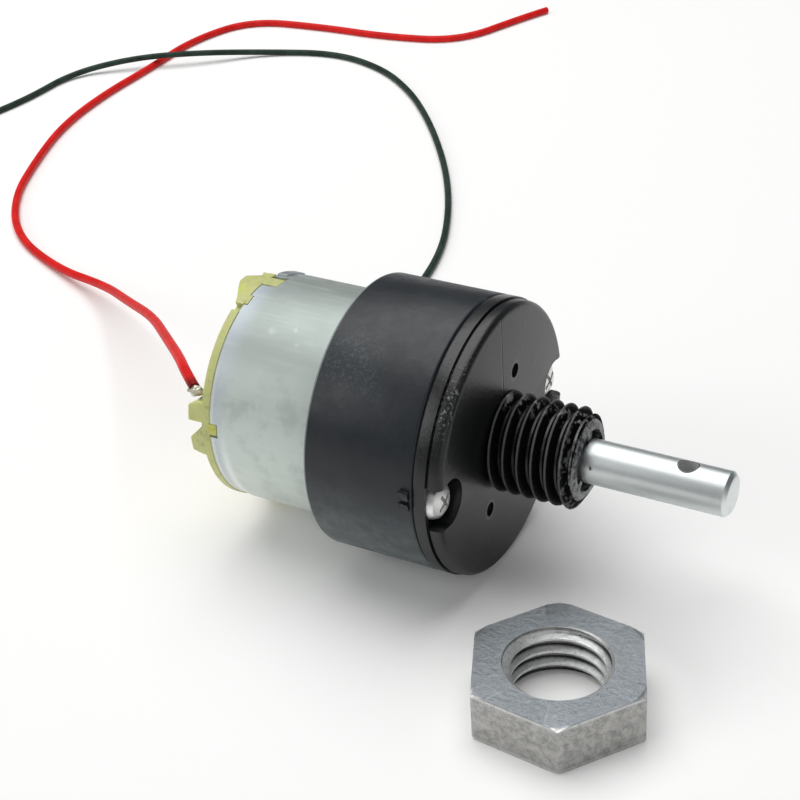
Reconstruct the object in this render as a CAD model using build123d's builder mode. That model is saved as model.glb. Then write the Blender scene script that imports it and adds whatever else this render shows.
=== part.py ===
from build123d import *
import math
import os

# DC gear motor with a central shaft, lying on its round gearbox. Sizes are in mm.
# X runs along the shaft, out of the gearbox. X = 0 is where the shaft leaves the threaded boss.
# Z is up. Angles are measured round X, from +Y towards +Z.

# Gearbox housing
gearbox_r = 19.0
cup_length = 16.0
cup_wall = 1.8
socket_depth = 6.0
web_thickness = 2.0
rim_break = 0.3
lid_depth = 3.9
lid_flange = 1.8
lid_step = 0.25
lid_edge_round = 0.4
lid_plate = 2.7
spigot_length = 1.1
spigot_wall = 1.3
fit_gap = 0.05
gate_width = 1.4
gate_height = 3.0
gate_length = 1.5
gate_above = 0.7

# Threaded boss on the lid: M14 x 2 as moulded
boss_length = 12.25
thread_pitch = 2.0
thread_major_r = 6.8
thread_root_r = 5.7
thread_crest_width = 0.4
thread_root_width = 1.7
thread_embed = 0.15
boss_end_r = 4.9
boss_taper = 1.3
boss_pocket_r = 4.2
boss_pocket_depth = 1.2
boss_rib = 1.0
crest_angle = 140.0
crest_at = 0.6

# Output shaft: its full size starts at a shoulder, just in front of the boss
shaft_r = 3.0
journal_r = 2.7
shoulder_gap = 0.05
shaft_reach = 19.4
shaft_bevel = 0.5
cross_hole_from_tip = 6.0
cross_hole_r = 1.25
cross_hole_mouth_r = 1.5
gear_seat_r = 2.5
gear_seat_flat = 2.0
stub_r = 1.0
bush_r = 4.0
bush_length = 10.0
running_gap = 0.05

# Gear train: four equal stages, each a pinion driving a wheel
wheel_clearance = 0.4
pinion_teeth = 10
wheel_teeth = 28
profile_shift = 0.4
pressure = math.radians(20)
tooth_thinning = 0.035
gear_face = 1.8
gear_gap = 0.25
first_gear_gap = 0.5
output_gear_face = 2.0
pin_r = 1.0
pin_angles = (68.0, 238.0)
pin_recess = 1.0
washer_thickness = 0.35

# Lid screws and motor screws
lid_screw_inset = 3.0
lid_screw_r = 1.3
lid_screw_head_r = 2.4
lid_screw_head = 1.5
lid_screw_length = 8.0
screw_recess_r = 3.3
screw_seat = 1.0
post_r = 3.0
pad_r = 4.2
slot_width = 0.7
slot_depth = 0.8
slot_share = 1.2
slot_turn_angle = 30.0
motor_screw_circle = 8.0
motor_screw_r = 1.25
motor_screw_head_r = 2.2
motor_screw_head = 1.1
motor_screw_length = 2.8
motor_screw_angles = (158.0, 338.0)

# Motor can and its contents
can_r = 16.0
can_wall = 0.8
can_length = 22.6
can_front_round = 1.2
can_rear_step = 0.15
can_rear_band = 1.6
can_notches = ((79.5, 93.5, 1.9), (93.0, 104.5, 0.9), (171.0, 177.5, 1.0))
can_boss_r = 4.0
can_boss_length = 1.4
motor_bush_r = 3.2
motor_bush_length = 2.6
motor_shaft_r = 1.0
magnet_thickness = 3.2
magnet_half_angle = 68.0
magnet_overhang = 2.0
clip_half_angle = 12.0
clip_gap_angle = 8.0
air_gap = 0.5
core_hub_r = 3.2
pole_arm_width = 3.6
pole_shoe_depth = 1.6
pole_shoe_half_angle = 52.0
pole_count = 3
first_pole_angle = 90.0
coil_width = 8.0
coil_inner_r = 3.7
coil_overhang = 2.2
rotor_front_gap = 1.8
rotor_rear_gap = 1.25
front_washer = 0.3
rear_washer = 0.6
commutator_hub_r = 2.6
commutator_r = 3.3
commutator_length = 3.2
segment_half_angle = 57.0
first_segment_angle = 30.0

# Nylon end cap, its terminals and the wires
cap_plate = 1.3
cap_spigot_length = 2.7
cap_spigot_wall = 1.2
cap_boss_r = 4.6
cap_block_depth = 2.2
cap_blocks = ((3.6, 80.0, 104.0, 2.2), (3.4, 158.5, 171.0, 2.1), (2.6, 175.0, 190.0, 1.9))
cap_fingers = ((80.0, 93.0, 1.8), (93.0, 104.0, 0.8), (171.5, 177.0, 0.9))
rim_gap = (104.5, 111.0)
terminal_width = 2.0
terminal_thickness = 0.4
terminal_inset = 2.0
terminal_angle = 158.5
terminal_tail = 3.4
brush_angle = 65.0
brush_size = 2.0
arm_thickness = 0.3
arm_gap = 0.1
arm_root_angle = 12.0
arm_bow_angle = 45.0
arm_bow = 1.85
solder_r = 0.95
red_wire_r = 0.75
dark_wire_r = 0.65
bend_share = 0.45
crossing_gap = 0.5

# Mounting nut, M14 x 2, lying on the floor in front
nut_sides = 6
nut_flats = 21.0
nut_height = 7.0
nut_bore_r = 5.95
nut_thread_r = 7.05
nut_mouth_r = 6.9
nut_face_r = 11.3
nut_bevel_drop = 0.5
nut_centre = (6.8, -25.5)
nut_turn_angle = -66.3

# Sizes that follow from the ones above
floor_z = -gearbox_r
cup_wall_r = gearbox_r - cup_wall
spigot_inner_r = cup_wall_r - spigot_wall
lid_screw_circle = gearbox_r - lid_screw_inset
magnet_inner_r = can_r - can_wall - magnet_thickness
core_r = magnet_inner_r - air_gap
pole_shoe_inner_r = core_r - pole_shoe_depth
terminal_mid_r = can_r - terminal_inset
nut_corner_r = nut_flats / 2 / math.cos(math.pi / nut_sides)

# Stations along X
boss_end_x = -shoulder_gap
face_x = boss_end_x - boss_length
seam_x = face_x - lid_depth
plate_x = face_x - lid_plate
cup_rear_x = seam_x - cup_length
web_rear_x = cup_rear_x + socket_depth
web_front_x = web_rear_x + web_thickness
can_rear_x = web_rear_x - can_length
cap_rear_x = can_rear_x - cap_plate
block_rear_x = cap_rear_x - cap_block_depth
stage_1_x = web_front_x + first_gear_gap
stage_2_x = stage_1_x + gear_face + gear_gap
stage_3_x = stage_2_x + gear_face + gear_gap
stage_4_x = stage_3_x + gear_face + gear_gap
gear_end_x = stage_4_x + output_gear_face
motor_shaft_end_x = stage_1_x + gear_face - gear_gap
stub_end_x = stage_2_x
screw_seat_x = seam_x + screw_seat
pin_start_x = web_rear_x + gear_gap
pin_end_x = face_x - pin_recess
coil_front_x = web_rear_x - can_wall - rotor_front_gap
core_front_x = coil_front_x - coil_overhang
rear_bush_x = block_rear_x + can_wall + motor_bush_length
commutator_x = rear_bush_x + rotor_rear_gap
coil_rear_x = commutator_x + commutator_length + gear_gap
core_rear_x = coil_rear_x + coil_overhang
core_length = core_front_x - core_rear_x
magnet_length = core_length + 2 * magnet_overhang

# Gear sizes: the module is the largest that leaves the wheels clear of the cup's wall
gear_module = (cup_wall_r - wheel_clearance) / (pinion_teeth / 2 + wheel_teeth + 1 - profile_shift)
centre_distance = gear_module * (pinion_teeth + wheel_teeth) / 2
pinion_root_r = gear_module * (pinion_teeth / 2 - 1.25 + profile_shift)
wheel_root_r = gear_module * (wheel_teeth / 2 - 1.25 - profile_shift)

os.makedirs("parts", exist_ok=True)


def polar_point(radius, angle):
    """The Y and Z of a point at a radius and an angle round the shaft."""
    return radius * math.cos(math.radians(angle)), radius * math.sin(math.radians(angle))


def cross_section(x, centre=(0.0, 0.0)):
    """The plane across the shaft at x, with its origin on an axle. Local x is Y and local y is Z."""
    return Plane(origin=(x, centre[0], centre[1]), x_dir=(0, 1, 0), z_dir=(1, 0, 0))


def radial_plane(x, radius, angle):
    """The plane across the shaft with local x pointing outwards at an angle."""
    return Plane(origin=(x, *polar_point(radius, angle)), x_dir=(0, *polar_point(1, angle)), z_dir=(1, 0, 0))


def ring_sector(inner, outer, start, end):
    """Part of a flat ring between two angles."""
    with BuildSketch(mode=Mode.PRIVATE) as sector:
        with BuildLine():
            far = CenterArc((0, 0), outer, start, end - start)
            near = CenterArc((0, 0), inner, start, end - start)
            Line(far @ 0, near @ 0)
            Line(far @ 1, near @ 1)
        make_face()
    return sector.sketch


def gear_tooth(teeth, shift):
    """One involute tooth along local x, with its foot sunk in the root circle."""
    pitch_r = gear_module * teeth / 2
    base_r = pitch_r * math.cos(pressure)
    tip_r = gear_module * (teeth / 2 + 1 + shift)
    root_r = gear_module * (teeth / 2 - 1.25 + shift)
    half_angle = (math.pi / 2 + 2 * shift * math.tan(pressure)) / teeth - tooth_thinning / pitch_r
    half_angle += math.tan(pressure) - pressure

    def flank(radius):
        roll = math.acos(min(1.0, base_r / radius))
        angle = half_angle - (math.tan(roll) - roll)
        return radius * math.cos(angle), radius * math.sin(angle)

    start = flank(max(base_r, root_r))
    middle = flank((max(base_r, root_r) + tip_r) / 2)
    tip = flank(tip_r)
    foot = (root_r * 0.9, start[1] * root_r * 0.9 / start[0])
    with BuildSketch(mode=Mode.PRIVATE) as tooth:
        with BuildLine():
            Polyline((start[0], -start[1]), (foot[0], -foot[1]), foot, start)
            ThreePointArc(start, middle, tip)
            Line(tip, (tip[0], -tip[1]))
            ThreePointArc((tip[0], -tip[1]), (middle[0], -middle[1]), (start[0], -start[1]))
        make_face()
    return tooth.sketch


def thread_outline(height):
    """The closed outline of one thread ridge, standing on local x with its foot sunk a little."""
    slope = (thread_root_width - thread_crest_width) / 2 / height
    foot = thread_root_width / 2 + slope * thread_embed
    Polyline(
        (-foot, -thread_embed),
        (-thread_crest_width / 2, height),
        (thread_crest_width / 2, height),
        (foot, -thread_embed),
        close=True,
    )


pin_a, pin_b = [polar_point(centre_distance, angle) for angle in pin_angles]
pinion_tooth = gear_tooth(pinion_teeth, profile_shift)
wheel_tooth = gear_tooth(wheel_teeth, -profile_shift)


def pinion_outline(angle):
    """A pinion with a tooth pointing at an angle, to be used inside a sketch."""
    Circle(pinion_root_r)
    with PolarLocations(0, pinion_teeth, start_angle=angle):
        add(pinion_tooth)


def wheel_outline(angle):
    """A wheel with a gap between two teeth pointing at an angle."""
    Circle(wheel_root_r)
    with PolarLocations(0, wheel_teeth, start_angle=angle - 180 / wheel_teeth):
        add(wheel_tooth)


# Gearbox cup: a moulded cup with a web. The gears run in front of the web and the can sits behind.
with BuildPart() as gearbox_cup:
    with BuildSketch(Plane.XZ):
        with BuildLine():
            Polyline(
                (cup_rear_x, gearbox_r - rim_break),
                (cup_rear_x + rim_break, gearbox_r),
                (seam_x - rim_break, gearbox_r),
                (seam_x, gearbox_r - rim_break),
                (seam_x, cup_wall_r),
                (web_front_x, cup_wall_r),
                (web_front_x, can_boss_r + fit_gap),
                (web_rear_x, can_boss_r + fit_gap),
                (web_rear_x, can_r + fit_gap),
                (cup_rear_x + rim_break, can_r + fit_gap),
                (cup_rear_x, can_r + fit_gap + rim_break),
                close=True,
            )
        make_face()
    revolve(axis=Axis.X)
    # Posts for the lid screws grow out of the wall
    with BuildSketch(cross_section(web_front_x)):
        with PolarLocations(lid_screw_circle, 2):
            Circle(post_r)
    extrude(amount=seam_x - web_front_x)
    with BuildSketch(cross_section(seam_x)):
        with PolarLocations(lid_screw_circle, 2):
            Circle(lid_screw_r + fit_gap)
    extrude(amount=-(lid_screw_length - screw_seat + gear_gap), mode=Mode.SUBTRACT)
    # Seats for the two gear pins
    with BuildSketch(cross_section(pin_start_x)):
        with Locations(pin_a, pin_b):
            Circle(pin_r)
    extrude(amount=web_thickness, mode=Mode.SUBTRACT)
    # Sunk holes for the two screws that hold the motor
    with BuildSketch(cross_section(web_rear_x)):
        for angle in motor_screw_angles:
            with PolarLocations(motor_screw_circle, 1, start_angle=angle):
                Circle(motor_screw_r + fit_gap)
    extrude(amount=web_thickness, mode=Mode.SUBTRACT)
    with BuildSketch(cross_section(web_front_x)):
        for angle in motor_screw_angles:
            with PolarLocations(motor_screw_circle, 1, start_angle=angle):
                Circle(motor_screw_head_r + fit_gap)
    extrude(amount=-motor_screw_head, mode=Mode.SUBTRACT)
    # Moulding gate left beside the seam
    with BuildSketch(cross_section(seam_x - rim_break)):
        with Locations((-gearbox_r, gate_above)):
            RectangleRounded(gate_width, gate_height, gate_width / 3)
    extrude(amount=-gate_length)
gearbox_cup.part.label = "gearbox_cup"
export_step(gearbox_cup.part, "parts/gearbox_cup.step")

# Moulded thread: a trapezoid swept along a helix and trimmed to the boss's tapered end
with BuildPart() as boss_thread:
    with BuildLine():
        helix_path = Helix(
            thread_pitch,
            boss_length + 2 * thread_pitch,
            thread_root_r,
            center=(face_x + crest_at - thread_pitch * (1 + (crest_angle - 90) / 360), 0, 0),
            direction=(1, 0, 0),
        )
    with BuildSketch(Plane(origin=helix_path @ 0, x_dir=(1, 0, 0), z_dir=helix_path % 0)):
        with BuildLine():
            thread_outline(thread_major_r - thread_root_r)
        make_face()
    sweep(path=helix_path, is_frenet=True)
    with BuildSketch(Plane.XZ):
        with BuildLine():
            Polyline(
                (plate_x, bush_r),
                (plate_x, gearbox_r),
                (face_x, gearbox_r),
                (boss_end_x - boss_taper, thread_major_r + rim_break),
                (boss_end_x, boss_end_r),
                (boss_end_x, bush_r),
                close=True,
            )
        make_face()
    revolve(axis=Axis.X, mode=Mode.INTERSECT)

# Gearbox lid: moulded in one piece with the threaded boss, and open at the screws
root_taper = boss_taper * (thread_root_r - boss_end_r) / (thread_major_r - boss_end_r)
with BuildPart() as gearbox_lid:
    with BuildSketch(Plane.XZ):
        with BuildLine():
            Polyline(
                (plate_x, bush_r),
                (plate_x, spigot_inner_r),
                (seam_x - spigot_length, spigot_inner_r),
                (seam_x - spigot_length, cup_wall_r - fit_gap),
                (seam_x, cup_wall_r - fit_gap),
                (seam_x, gearbox_r - rim_break),
                (seam_x + rim_break, gearbox_r),
                (seam_x + lid_flange, gearbox_r),
                (seam_x + lid_flange, gearbox_r - lid_step),
                (face_x - lid_edge_round, gearbox_r - lid_step),
                (face_x, gearbox_r - lid_step - lid_edge_round),
                (face_x, thread_root_r),
                (boss_end_x - root_taper, thread_root_r),
                (boss_end_x, boss_end_r),
                (boss_end_x, shaft_r + lid_edge_round / 2),
                (plate_x + bush_length, shaft_r + lid_edge_round / 2),
                (plate_x + bush_length, bush_r),
                close=True,
            )
        make_face()
    revolve(axis=Axis.X)
    add(boss_thread.part)
    # Core-outs round the shaft in the boss's end, between three ribs
    with BuildSketch(cross_section(boss_end_x - boss_pocket_depth)):
        Circle(boss_pocket_r)
        with PolarLocations((boss_pocket_r + shaft_r) / 2, 3, start_angle=first_pole_angle):
            Rectangle(boss_pocket_r - shaft_r, boss_rib, mode=Mode.SUBTRACT)
    extrude(amount=boss_pocket_depth, mode=Mode.SUBTRACT)
    # The spigot is cut away at the cup's posts, and pads carry the screw heads
    with BuildSketch(cross_section(seam_x - spigot_length)):
        with PolarLocations(lid_screw_circle, 2):
            Circle(post_r + fit_gap)
    extrude(amount=spigot_length, mode=Mode.SUBTRACT)
    with BuildSketch(cross_section(seam_x)):
        with PolarLocations(lid_screw_circle, 2):
            Circle(pad_r)
        Circle(gearbox_r - lid_step, mode=Mode.INTERSECT)
    extrude(amount=plate_x - seam_x)
    with BuildSketch(cross_section(screw_seat_x)):
        with PolarLocations(lid_screw_circle, 2):
            Circle(screw_recess_r)
    extrude(amount=face_x - screw_seat_x, mode=Mode.SUBTRACT)
    with BuildSketch(cross_section(seam_x)):
        with PolarLocations(lid_screw_circle, 2):
            Circle(lid_screw_r + fit_gap)
    extrude(amount=screw_seat, mode=Mode.SUBTRACT)
    # Holes that take the front ends of the gear pins
    with BuildSketch(cross_section(plate_x)):
        with Locations(pin_a, pin_b):
            Circle(pin_r)
    extrude(amount=lid_plate, mode=Mode.SUBTRACT)
gearbox_lid.part.label = "gearbox_lid"
export_step(gearbox_lid.part, "parts/gearbox_lid.step")

# Sintered bush pressed into the boss, the output shaft's bearing
with BuildPart() as shaft_bush:
    with BuildSketch(cross_section(plate_x)):
        Circle(bush_r)
        Circle(journal_r + running_gap, mode=Mode.SUBTRACT)
    extrude(amount=bush_length)
shaft_bush.part.label = "shaft_bush"
export_step(shaft_bush.part, "parts/shaft_bush.step")


def pan_screws(seat_x, circle_r, angles, thread_r, head_r, head, length):
    """Like pan-head screws with a cross slot, driven in from the front."""
    with BuildPart() as screws:
        for angle in angles:
            with BuildSketch(radial_plane(seat_x, circle_r, angle)):
                Circle(head_r)
            extrude(amount=head)
        chamfer(faces().filter_by(Axis.X).group_by(Axis.X)[-1].edges(), head / 3)
        for angle in angles:
            with BuildSketch(radial_plane(seat_x, circle_r, angle)):
                Circle(thread_r)
            extrude(amount=-length)
            with BuildSketch(radial_plane(seat_x + head, circle_r, angle)):
                Rectangle(slot_width, head_r * slot_share, rotation=slot_turn_angle)
                Rectangle(head_r * slot_share, slot_width, rotation=slot_turn_angle)
            extrude(amount=-slot_depth, mode=Mode.SUBTRACT)
    return screws.part


# Two screws hold the lid on the cup
lid_screws = pan_screws(
    screw_seat_x, lid_screw_circle, (0, 180), lid_screw_r, lid_screw_head_r, lid_screw_head, lid_screw_length
)
lid_screws.label = "lid_screws"
export_step(lid_screws, "parts/lid_screws.step")

# Two screws through the web hold the motor
motor_screws = pan_screws(
    web_front_x - motor_screw_head,
    motor_screw_circle,
    motor_screw_angles,
    motor_screw_r,
    motor_screw_head_r,
    motor_screw_head,
    motor_screw_length,
)
motor_screws.label = "motor_screws"
export_step(motor_screws, "parts/motor_screws.step")

# Two steel pins carry the first and third gears, pressed between the web and the lid
with BuildPart() as gear_pins:
    with BuildSketch(cross_section(pin_start_x)):
        with Locations(pin_a, pin_b):
            Circle(pin_r)
    extrude(amount=pin_end_x - pin_start_x)
gear_pins.part.label = "gear_pins"
export_step(gear_pins.part, "parts/gear_pins.step")

# Motor pinion, pressed on the motor shaft. It drives the first gear.
with BuildPart() as motor_pinion:
    with BuildSketch(cross_section(stage_1_x)):
        pinion_outline(pin_angles[0])
        Circle(motor_shaft_r, mode=Mode.SUBTRACT)
    extrude(amount=gear_face - gear_gap)
motor_pinion.part.label = "motor_pinion"
export_step(motor_pinion.part, "parts/motor_pinion.step")

# First gear: a moulded wheel and pinion in one piece, running on pin A
with BuildPart() as first_gear:
    with BuildSketch(cross_section(stage_1_x, pin_a)):
        wheel_outline(pin_angles[0] + 180)
    extrude(amount=gear_face)
    with BuildSketch(cross_section(stage_1_x + gear_face, pin_a)):
        pinion_outline(pin_angles[0] + 180)
    extrude(amount=gear_gap + gear_face)
    with BuildSketch(cross_section(stage_1_x, pin_a)):
        Circle(pin_r + running_gap)
    extrude(amount=2 * gear_face + gear_gap, mode=Mode.SUBTRACT)
first_gear.part.label = "first_gear"
export_step(first_gear.part, "parts/first_gear.step")

# Second gear: the same form, running on the output shaft's rear stub
with BuildPart() as second_gear:
    with BuildSketch(cross_section(stage_2_x)):
        wheel_outline(pin_angles[0])
    extrude(amount=gear_face)
    with BuildSketch(cross_section(stage_2_x + gear_face)):
        pinion_outline(pin_angles[1])
    extrude(amount=gear_gap + gear_face)
    with BuildSketch(cross_section(stage_2_x)):
        Circle(stub_r + running_gap)
    extrude(amount=2 * gear_face + gear_gap, mode=Mode.SUBTRACT)
second_gear.part.label = "second_gear"
export_step(second_gear.part, "parts/second_gear.step")

# Third gear: the same form, running on pin B. Its pinion is as wide as the output gear.
with BuildPart() as third_gear:
    with BuildSketch(cross_section(stage_3_x, pin_b)):
        wheel_outline(pin_angles[1] + 180)
    extrude(amount=gear_face)
    with BuildSketch(cross_section(stage_3_x + gear_face, pin_b)):
        pinion_outline(pin_angles[1] + 180)
    extrude(amount=gear_gap + output_gear_face)
    with BuildSketch(cross_section(stage_3_x, pin_b)):
        Circle(pin_r + running_gap)
    extrude(amount=gear_face + gear_gap + output_gear_face, mode=Mode.SUBTRACT)
third_gear.part.label = "third_gear"
export_step(third_gear.part, "parts/third_gear.step")

# Output gear, with two flats in its bore that fit the shaft's seat
with BuildPart() as output_gear:
    with BuildSketch(cross_section(stage_4_x)):
        wheel_outline(pin_angles[1])
    extrude(amount=output_gear_face)
    with BuildSketch(cross_section(stage_4_x)):
        Circle(gear_seat_r)
        Rectangle(2 * gear_seat_r, 2 * gear_seat_flat, mode=Mode.INTERSECT)
    extrude(amount=output_gear_face, mode=Mode.SUBTRACT)
output_gear.part.label = "output_gear"
export_step(output_gear.part, "parts/output_gear.step")

# Output shaft: turned steel with a gear seat, a rear stub and a cross hole near the tip
with BuildPart() as output_shaft:
    with BuildSketch(Plane.YZ):
        Circle(shaft_r)
    extrude(amount=shaft_reach)
    chamfer(faces().sort_by(Axis.X)[-1].edges(), shaft_bevel)
    with BuildSketch(cross_section(gear_end_x)):
        Circle(journal_r)
    extrude(amount=-gear_end_x)
    with BuildSketch(cross_section(stage_4_x)):
        Circle(gear_seat_r)
        Rectangle(2 * gear_seat_r, 2 * gear_seat_flat, mode=Mode.INTERSECT)
    extrude(amount=output_gear_face)
    with BuildSketch(cross_section(stub_end_x)):
        Circle(stub_r)
    extrude(amount=stage_4_x - stub_end_x)
    with BuildSketch(Plane.XY):
        with Locations((shaft_reach - cross_hole_from_tip, 0)):
            Circle(cross_hole_r)
    extrude(amount=shaft_r, both=True, mode=Mode.SUBTRACT)
    with BuildSketch(Plane.XY.offset(shaft_r)):
        with Locations((shaft_reach - cross_hole_from_tip, 0)):
            Circle(cross_hole_mouth_r)
    extrude(amount=-2 * (cross_hole_mouth_r - cross_hole_r), taper=45, mode=Mode.SUBTRACT)
output_shaft.part.label = "output_shaft"
export_step(output_shaft.part, "parts/output_shaft.step")

# Thrust washer between the output gear and the lid
with BuildPart() as thrust_washer:
    with BuildSketch(cross_section(gear_end_x)):
        Circle(bush_r + lid_step)
        Circle(journal_r, mode=Mode.SUBTRACT)
    extrude(amount=washer_thickness)
thrust_washer.part.label = "thrust_washer"
export_step(thrust_washer.part, "parts/thrust_washer.step")

# Motor can: drawn steel, closed at the front, with the end cap set in its open rear
with BuildPart() as motor_can:
    with BuildSketch(Plane.XZ):
        with BuildLine():
            Polyline(
                (web_rear_x - can_front_round, can_r),
                (can_rear_x + can_rear_band + can_rear_step, can_r),
                (can_rear_x + can_rear_band, can_r - can_rear_step),
                (can_rear_x, can_r - can_rear_step),
                (can_rear_x, can_r - can_wall),
                (web_rear_x - can_front_round, can_r - can_wall),
                (web_rear_x - can_wall, can_r - can_wall - lid_edge_round),
                (web_rear_x - can_wall, motor_bush_r),
                (web_rear_x + can_boss_length - can_wall, motor_bush_r),
                (web_rear_x + can_boss_length - can_wall, motor_shaft_r * 1.5),
                (web_rear_x + can_boss_length, motor_shaft_r * 1.5),
                (web_rear_x + can_boss_length, can_boss_r),
                (web_rear_x, can_boss_r),
                (web_rear_x, can_r - can_front_round),
            )
            RadiusArc(
                (web_rear_x, can_r - can_front_round), (web_rear_x - can_front_round, can_r), -can_front_round
            )
        make_face()
    revolve(axis=Axis.X)
    with BuildSketch(cross_section(web_rear_x)):
        for angle in motor_screw_angles:
            with PolarLocations(motor_screw_circle, 1, start_angle=angle):
                Circle(motor_screw_r + fit_gap)
    extrude(amount=-can_wall, mode=Mode.SUBTRACT)
    # Notches in the rear edge that key the end cap: (start angle, end angle, depth) on each side
    for start, end, depth in can_notches:
        for side in (0, 180):
            with BuildSketch(cross_section(can_rear_x)):
                add(ring_sector(can_r - 2 * can_wall, can_r + can_wall, start + side, end + side))
            extrude(amount=depth, mode=Mode.SUBTRACT)
motor_can.part.label = "motor_can"
export_step(motor_can.part, "parts/motor_can.step")

# Sintered bushes at the two ends of the motor shaft
with BuildPart() as front_bearing:
    with BuildSketch(cross_section(web_rear_x + can_boss_length - can_wall)):
        Circle(motor_bush_r)
        Circle(motor_shaft_r + running_gap, mode=Mode.SUBTRACT)
    extrude(amount=-motor_bush_length)
front_bearing.part.label = "front_bearing"
export_step(front_bearing.part, "parts/front_bearing.step")

with BuildPart() as rear_bearing:
    with BuildSketch(cross_section(block_rear_x + can_wall)):
        Circle(motor_bush_r)
        Circle(motor_shaft_r + running_gap, mode=Mode.SUBTRACT)
    extrude(amount=motor_bush_length)
rear_bearing.part.label = "rear_bearing"
export_step(rear_bearing.part, "parts/rear_bearing.step")

# Two ferrite arcs line the can. The gaps between them are above and below the shaft.
with BuildPart() as field_magnets:
    with BuildSketch(cross_section(coil_front_x)):
        for side in (0, 180):
            start = side - magnet_half_angle
            add(ring_sector(magnet_inner_r, can_r - can_wall, start, start + 2 * magnet_half_angle))
    extrude(amount=-magnet_length)
field_magnets.part.label = "field_magnets"
export_step(field_magnets.part, "parts/field_magnets.step")

# Spring clip: a bent wire in each gap, pushing the magnets against their stops
with BuildPart() as magnet_springs:
    for side in (90, 270):
        with BuildSketch(cross_section(coil_front_x)):
            start = side - clip_half_angle
            add(ring_sector(can_r - 3 * can_wall, can_r - can_wall, start, start + 2 * clip_half_angle))
        extrude(amount=-magnet_length)
        with BuildSketch(cross_section(coil_front_x - can_wall)):
            start = side - clip_gap_angle
            add(ring_sector(can_r - 4 * can_wall, can_r - 2 * can_wall, start, start + 2 * clip_gap_angle))
        extrude(amount=-magnet_length, mode=Mode.SUBTRACT)
magnet_springs.part.label = "magnet_springs"
export_step(magnet_springs.part, "parts/magnet_springs.step")

# Laminated core: a hub and three poles with curved shoes
with BuildPart() as armature_core:
    with BuildSketch(cross_section(core_rear_x)):
        Circle(core_hub_r)
        with PolarLocations(pole_shoe_inner_r / 2, pole_count, start_angle=first_pole_angle):
            Rectangle(pole_shoe_inner_r + can_wall, pole_arm_width)
        for pole in range(pole_count):
            middle = first_pole_angle + pole * 360 / pole_count
            shoe_start = middle - pole_shoe_half_angle
            add(ring_sector(pole_shoe_inner_r, core_r, shoe_start, middle + pole_shoe_half_angle))
        Circle(motor_shaft_r, mode=Mode.SUBTRACT)
    extrude(amount=core_length)
armature_core.part.label = "armature_core"
export_step(armature_core.part, "parts/armature_core.step")

# Enamelled copper wound round each pole
with BuildPart() as armature_coils:
    for pole in range(pole_count):
        middle = first_pole_angle + pole * 360 / pole_count
        coil_outer_r = math.sqrt(pole_shoe_inner_r**2 - (coil_width / 2) ** 2) - fit_gap
        coil_depth = coil_outer_r - coil_inner_r
        with BuildSketch(radial_plane(coil_rear_x, coil_inner_r + coil_depth / 2, middle)):
            RectangleRounded(coil_depth, coil_width, coil_depth / 5)
        extrude(amount=coil_front_x - coil_rear_x)
        with BuildSketch(radial_plane(core_rear_x, coil_inner_r + coil_depth / 2, middle)):
            Rectangle(2 * coil_depth, pole_arm_width)
        extrude(amount=core_length, mode=Mode.SUBTRACT)
armature_coils.part.label = "armature_coils"
export_step(armature_coils.part, "parts/armature_coils.step")

# Commutator: three copper segments on a moulded hub
with BuildPart() as commutator_hub:
    with BuildSketch(cross_section(commutator_x)):
        Circle(commutator_hub_r)
        Circle(motor_shaft_r, mode=Mode.SUBTRACT)
    extrude(amount=coil_rear_x - commutator_x)
commutator_hub.part.label = "commutator_hub"
export_step(commutator_hub.part, "parts/commutator_hub.step")

with BuildPart() as commutator_segments:
    with BuildSketch(cross_section(commutator_x)):
        for pole in range(pole_count):
            start = first_segment_angle + pole * 360 / pole_count - segment_half_angle
            add(ring_sector(commutator_hub_r, commutator_r, start, start + 2 * segment_half_angle))
    extrude(amount=commutator_length)
commutator_segments.part.label = "commutator_segments"
export_step(commutator_segments.part, "parts/commutator_segments.step")

# Motor shaft, ground steel, from the rear bush to the pinion
with BuildPart() as motor_shaft:
    with BuildSketch(cross_section(block_rear_x + can_wall)):
        Circle(motor_shaft_r)
    extrude(amount=motor_shaft_end_x - block_rear_x - can_wall)
    chamfer(faces().filter_by(Axis.X).edges(), motor_shaft_r / 5)
motor_shaft.part.label = "motor_shaft"
export_step(motor_shaft.part, "parts/motor_shaft.step")

# Fibre washers that set the rotor's end float
with BuildPart() as rotor_washers:
    for start, length in (
        (coil_front_x + fit_gap, front_washer),
        (rear_bush_x + fit_gap, rear_washer),
    ):
        with BuildSketch(cross_section(start)):
            Circle(2 * motor_shaft_r)
            Circle(motor_shaft_r, mode=Mode.SUBTRACT)
        extrude(amount=length)
rotor_washers.part.label = "rotor_washers"
export_step(rotor_washers.part, "parts/rotor_washers.step")

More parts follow.
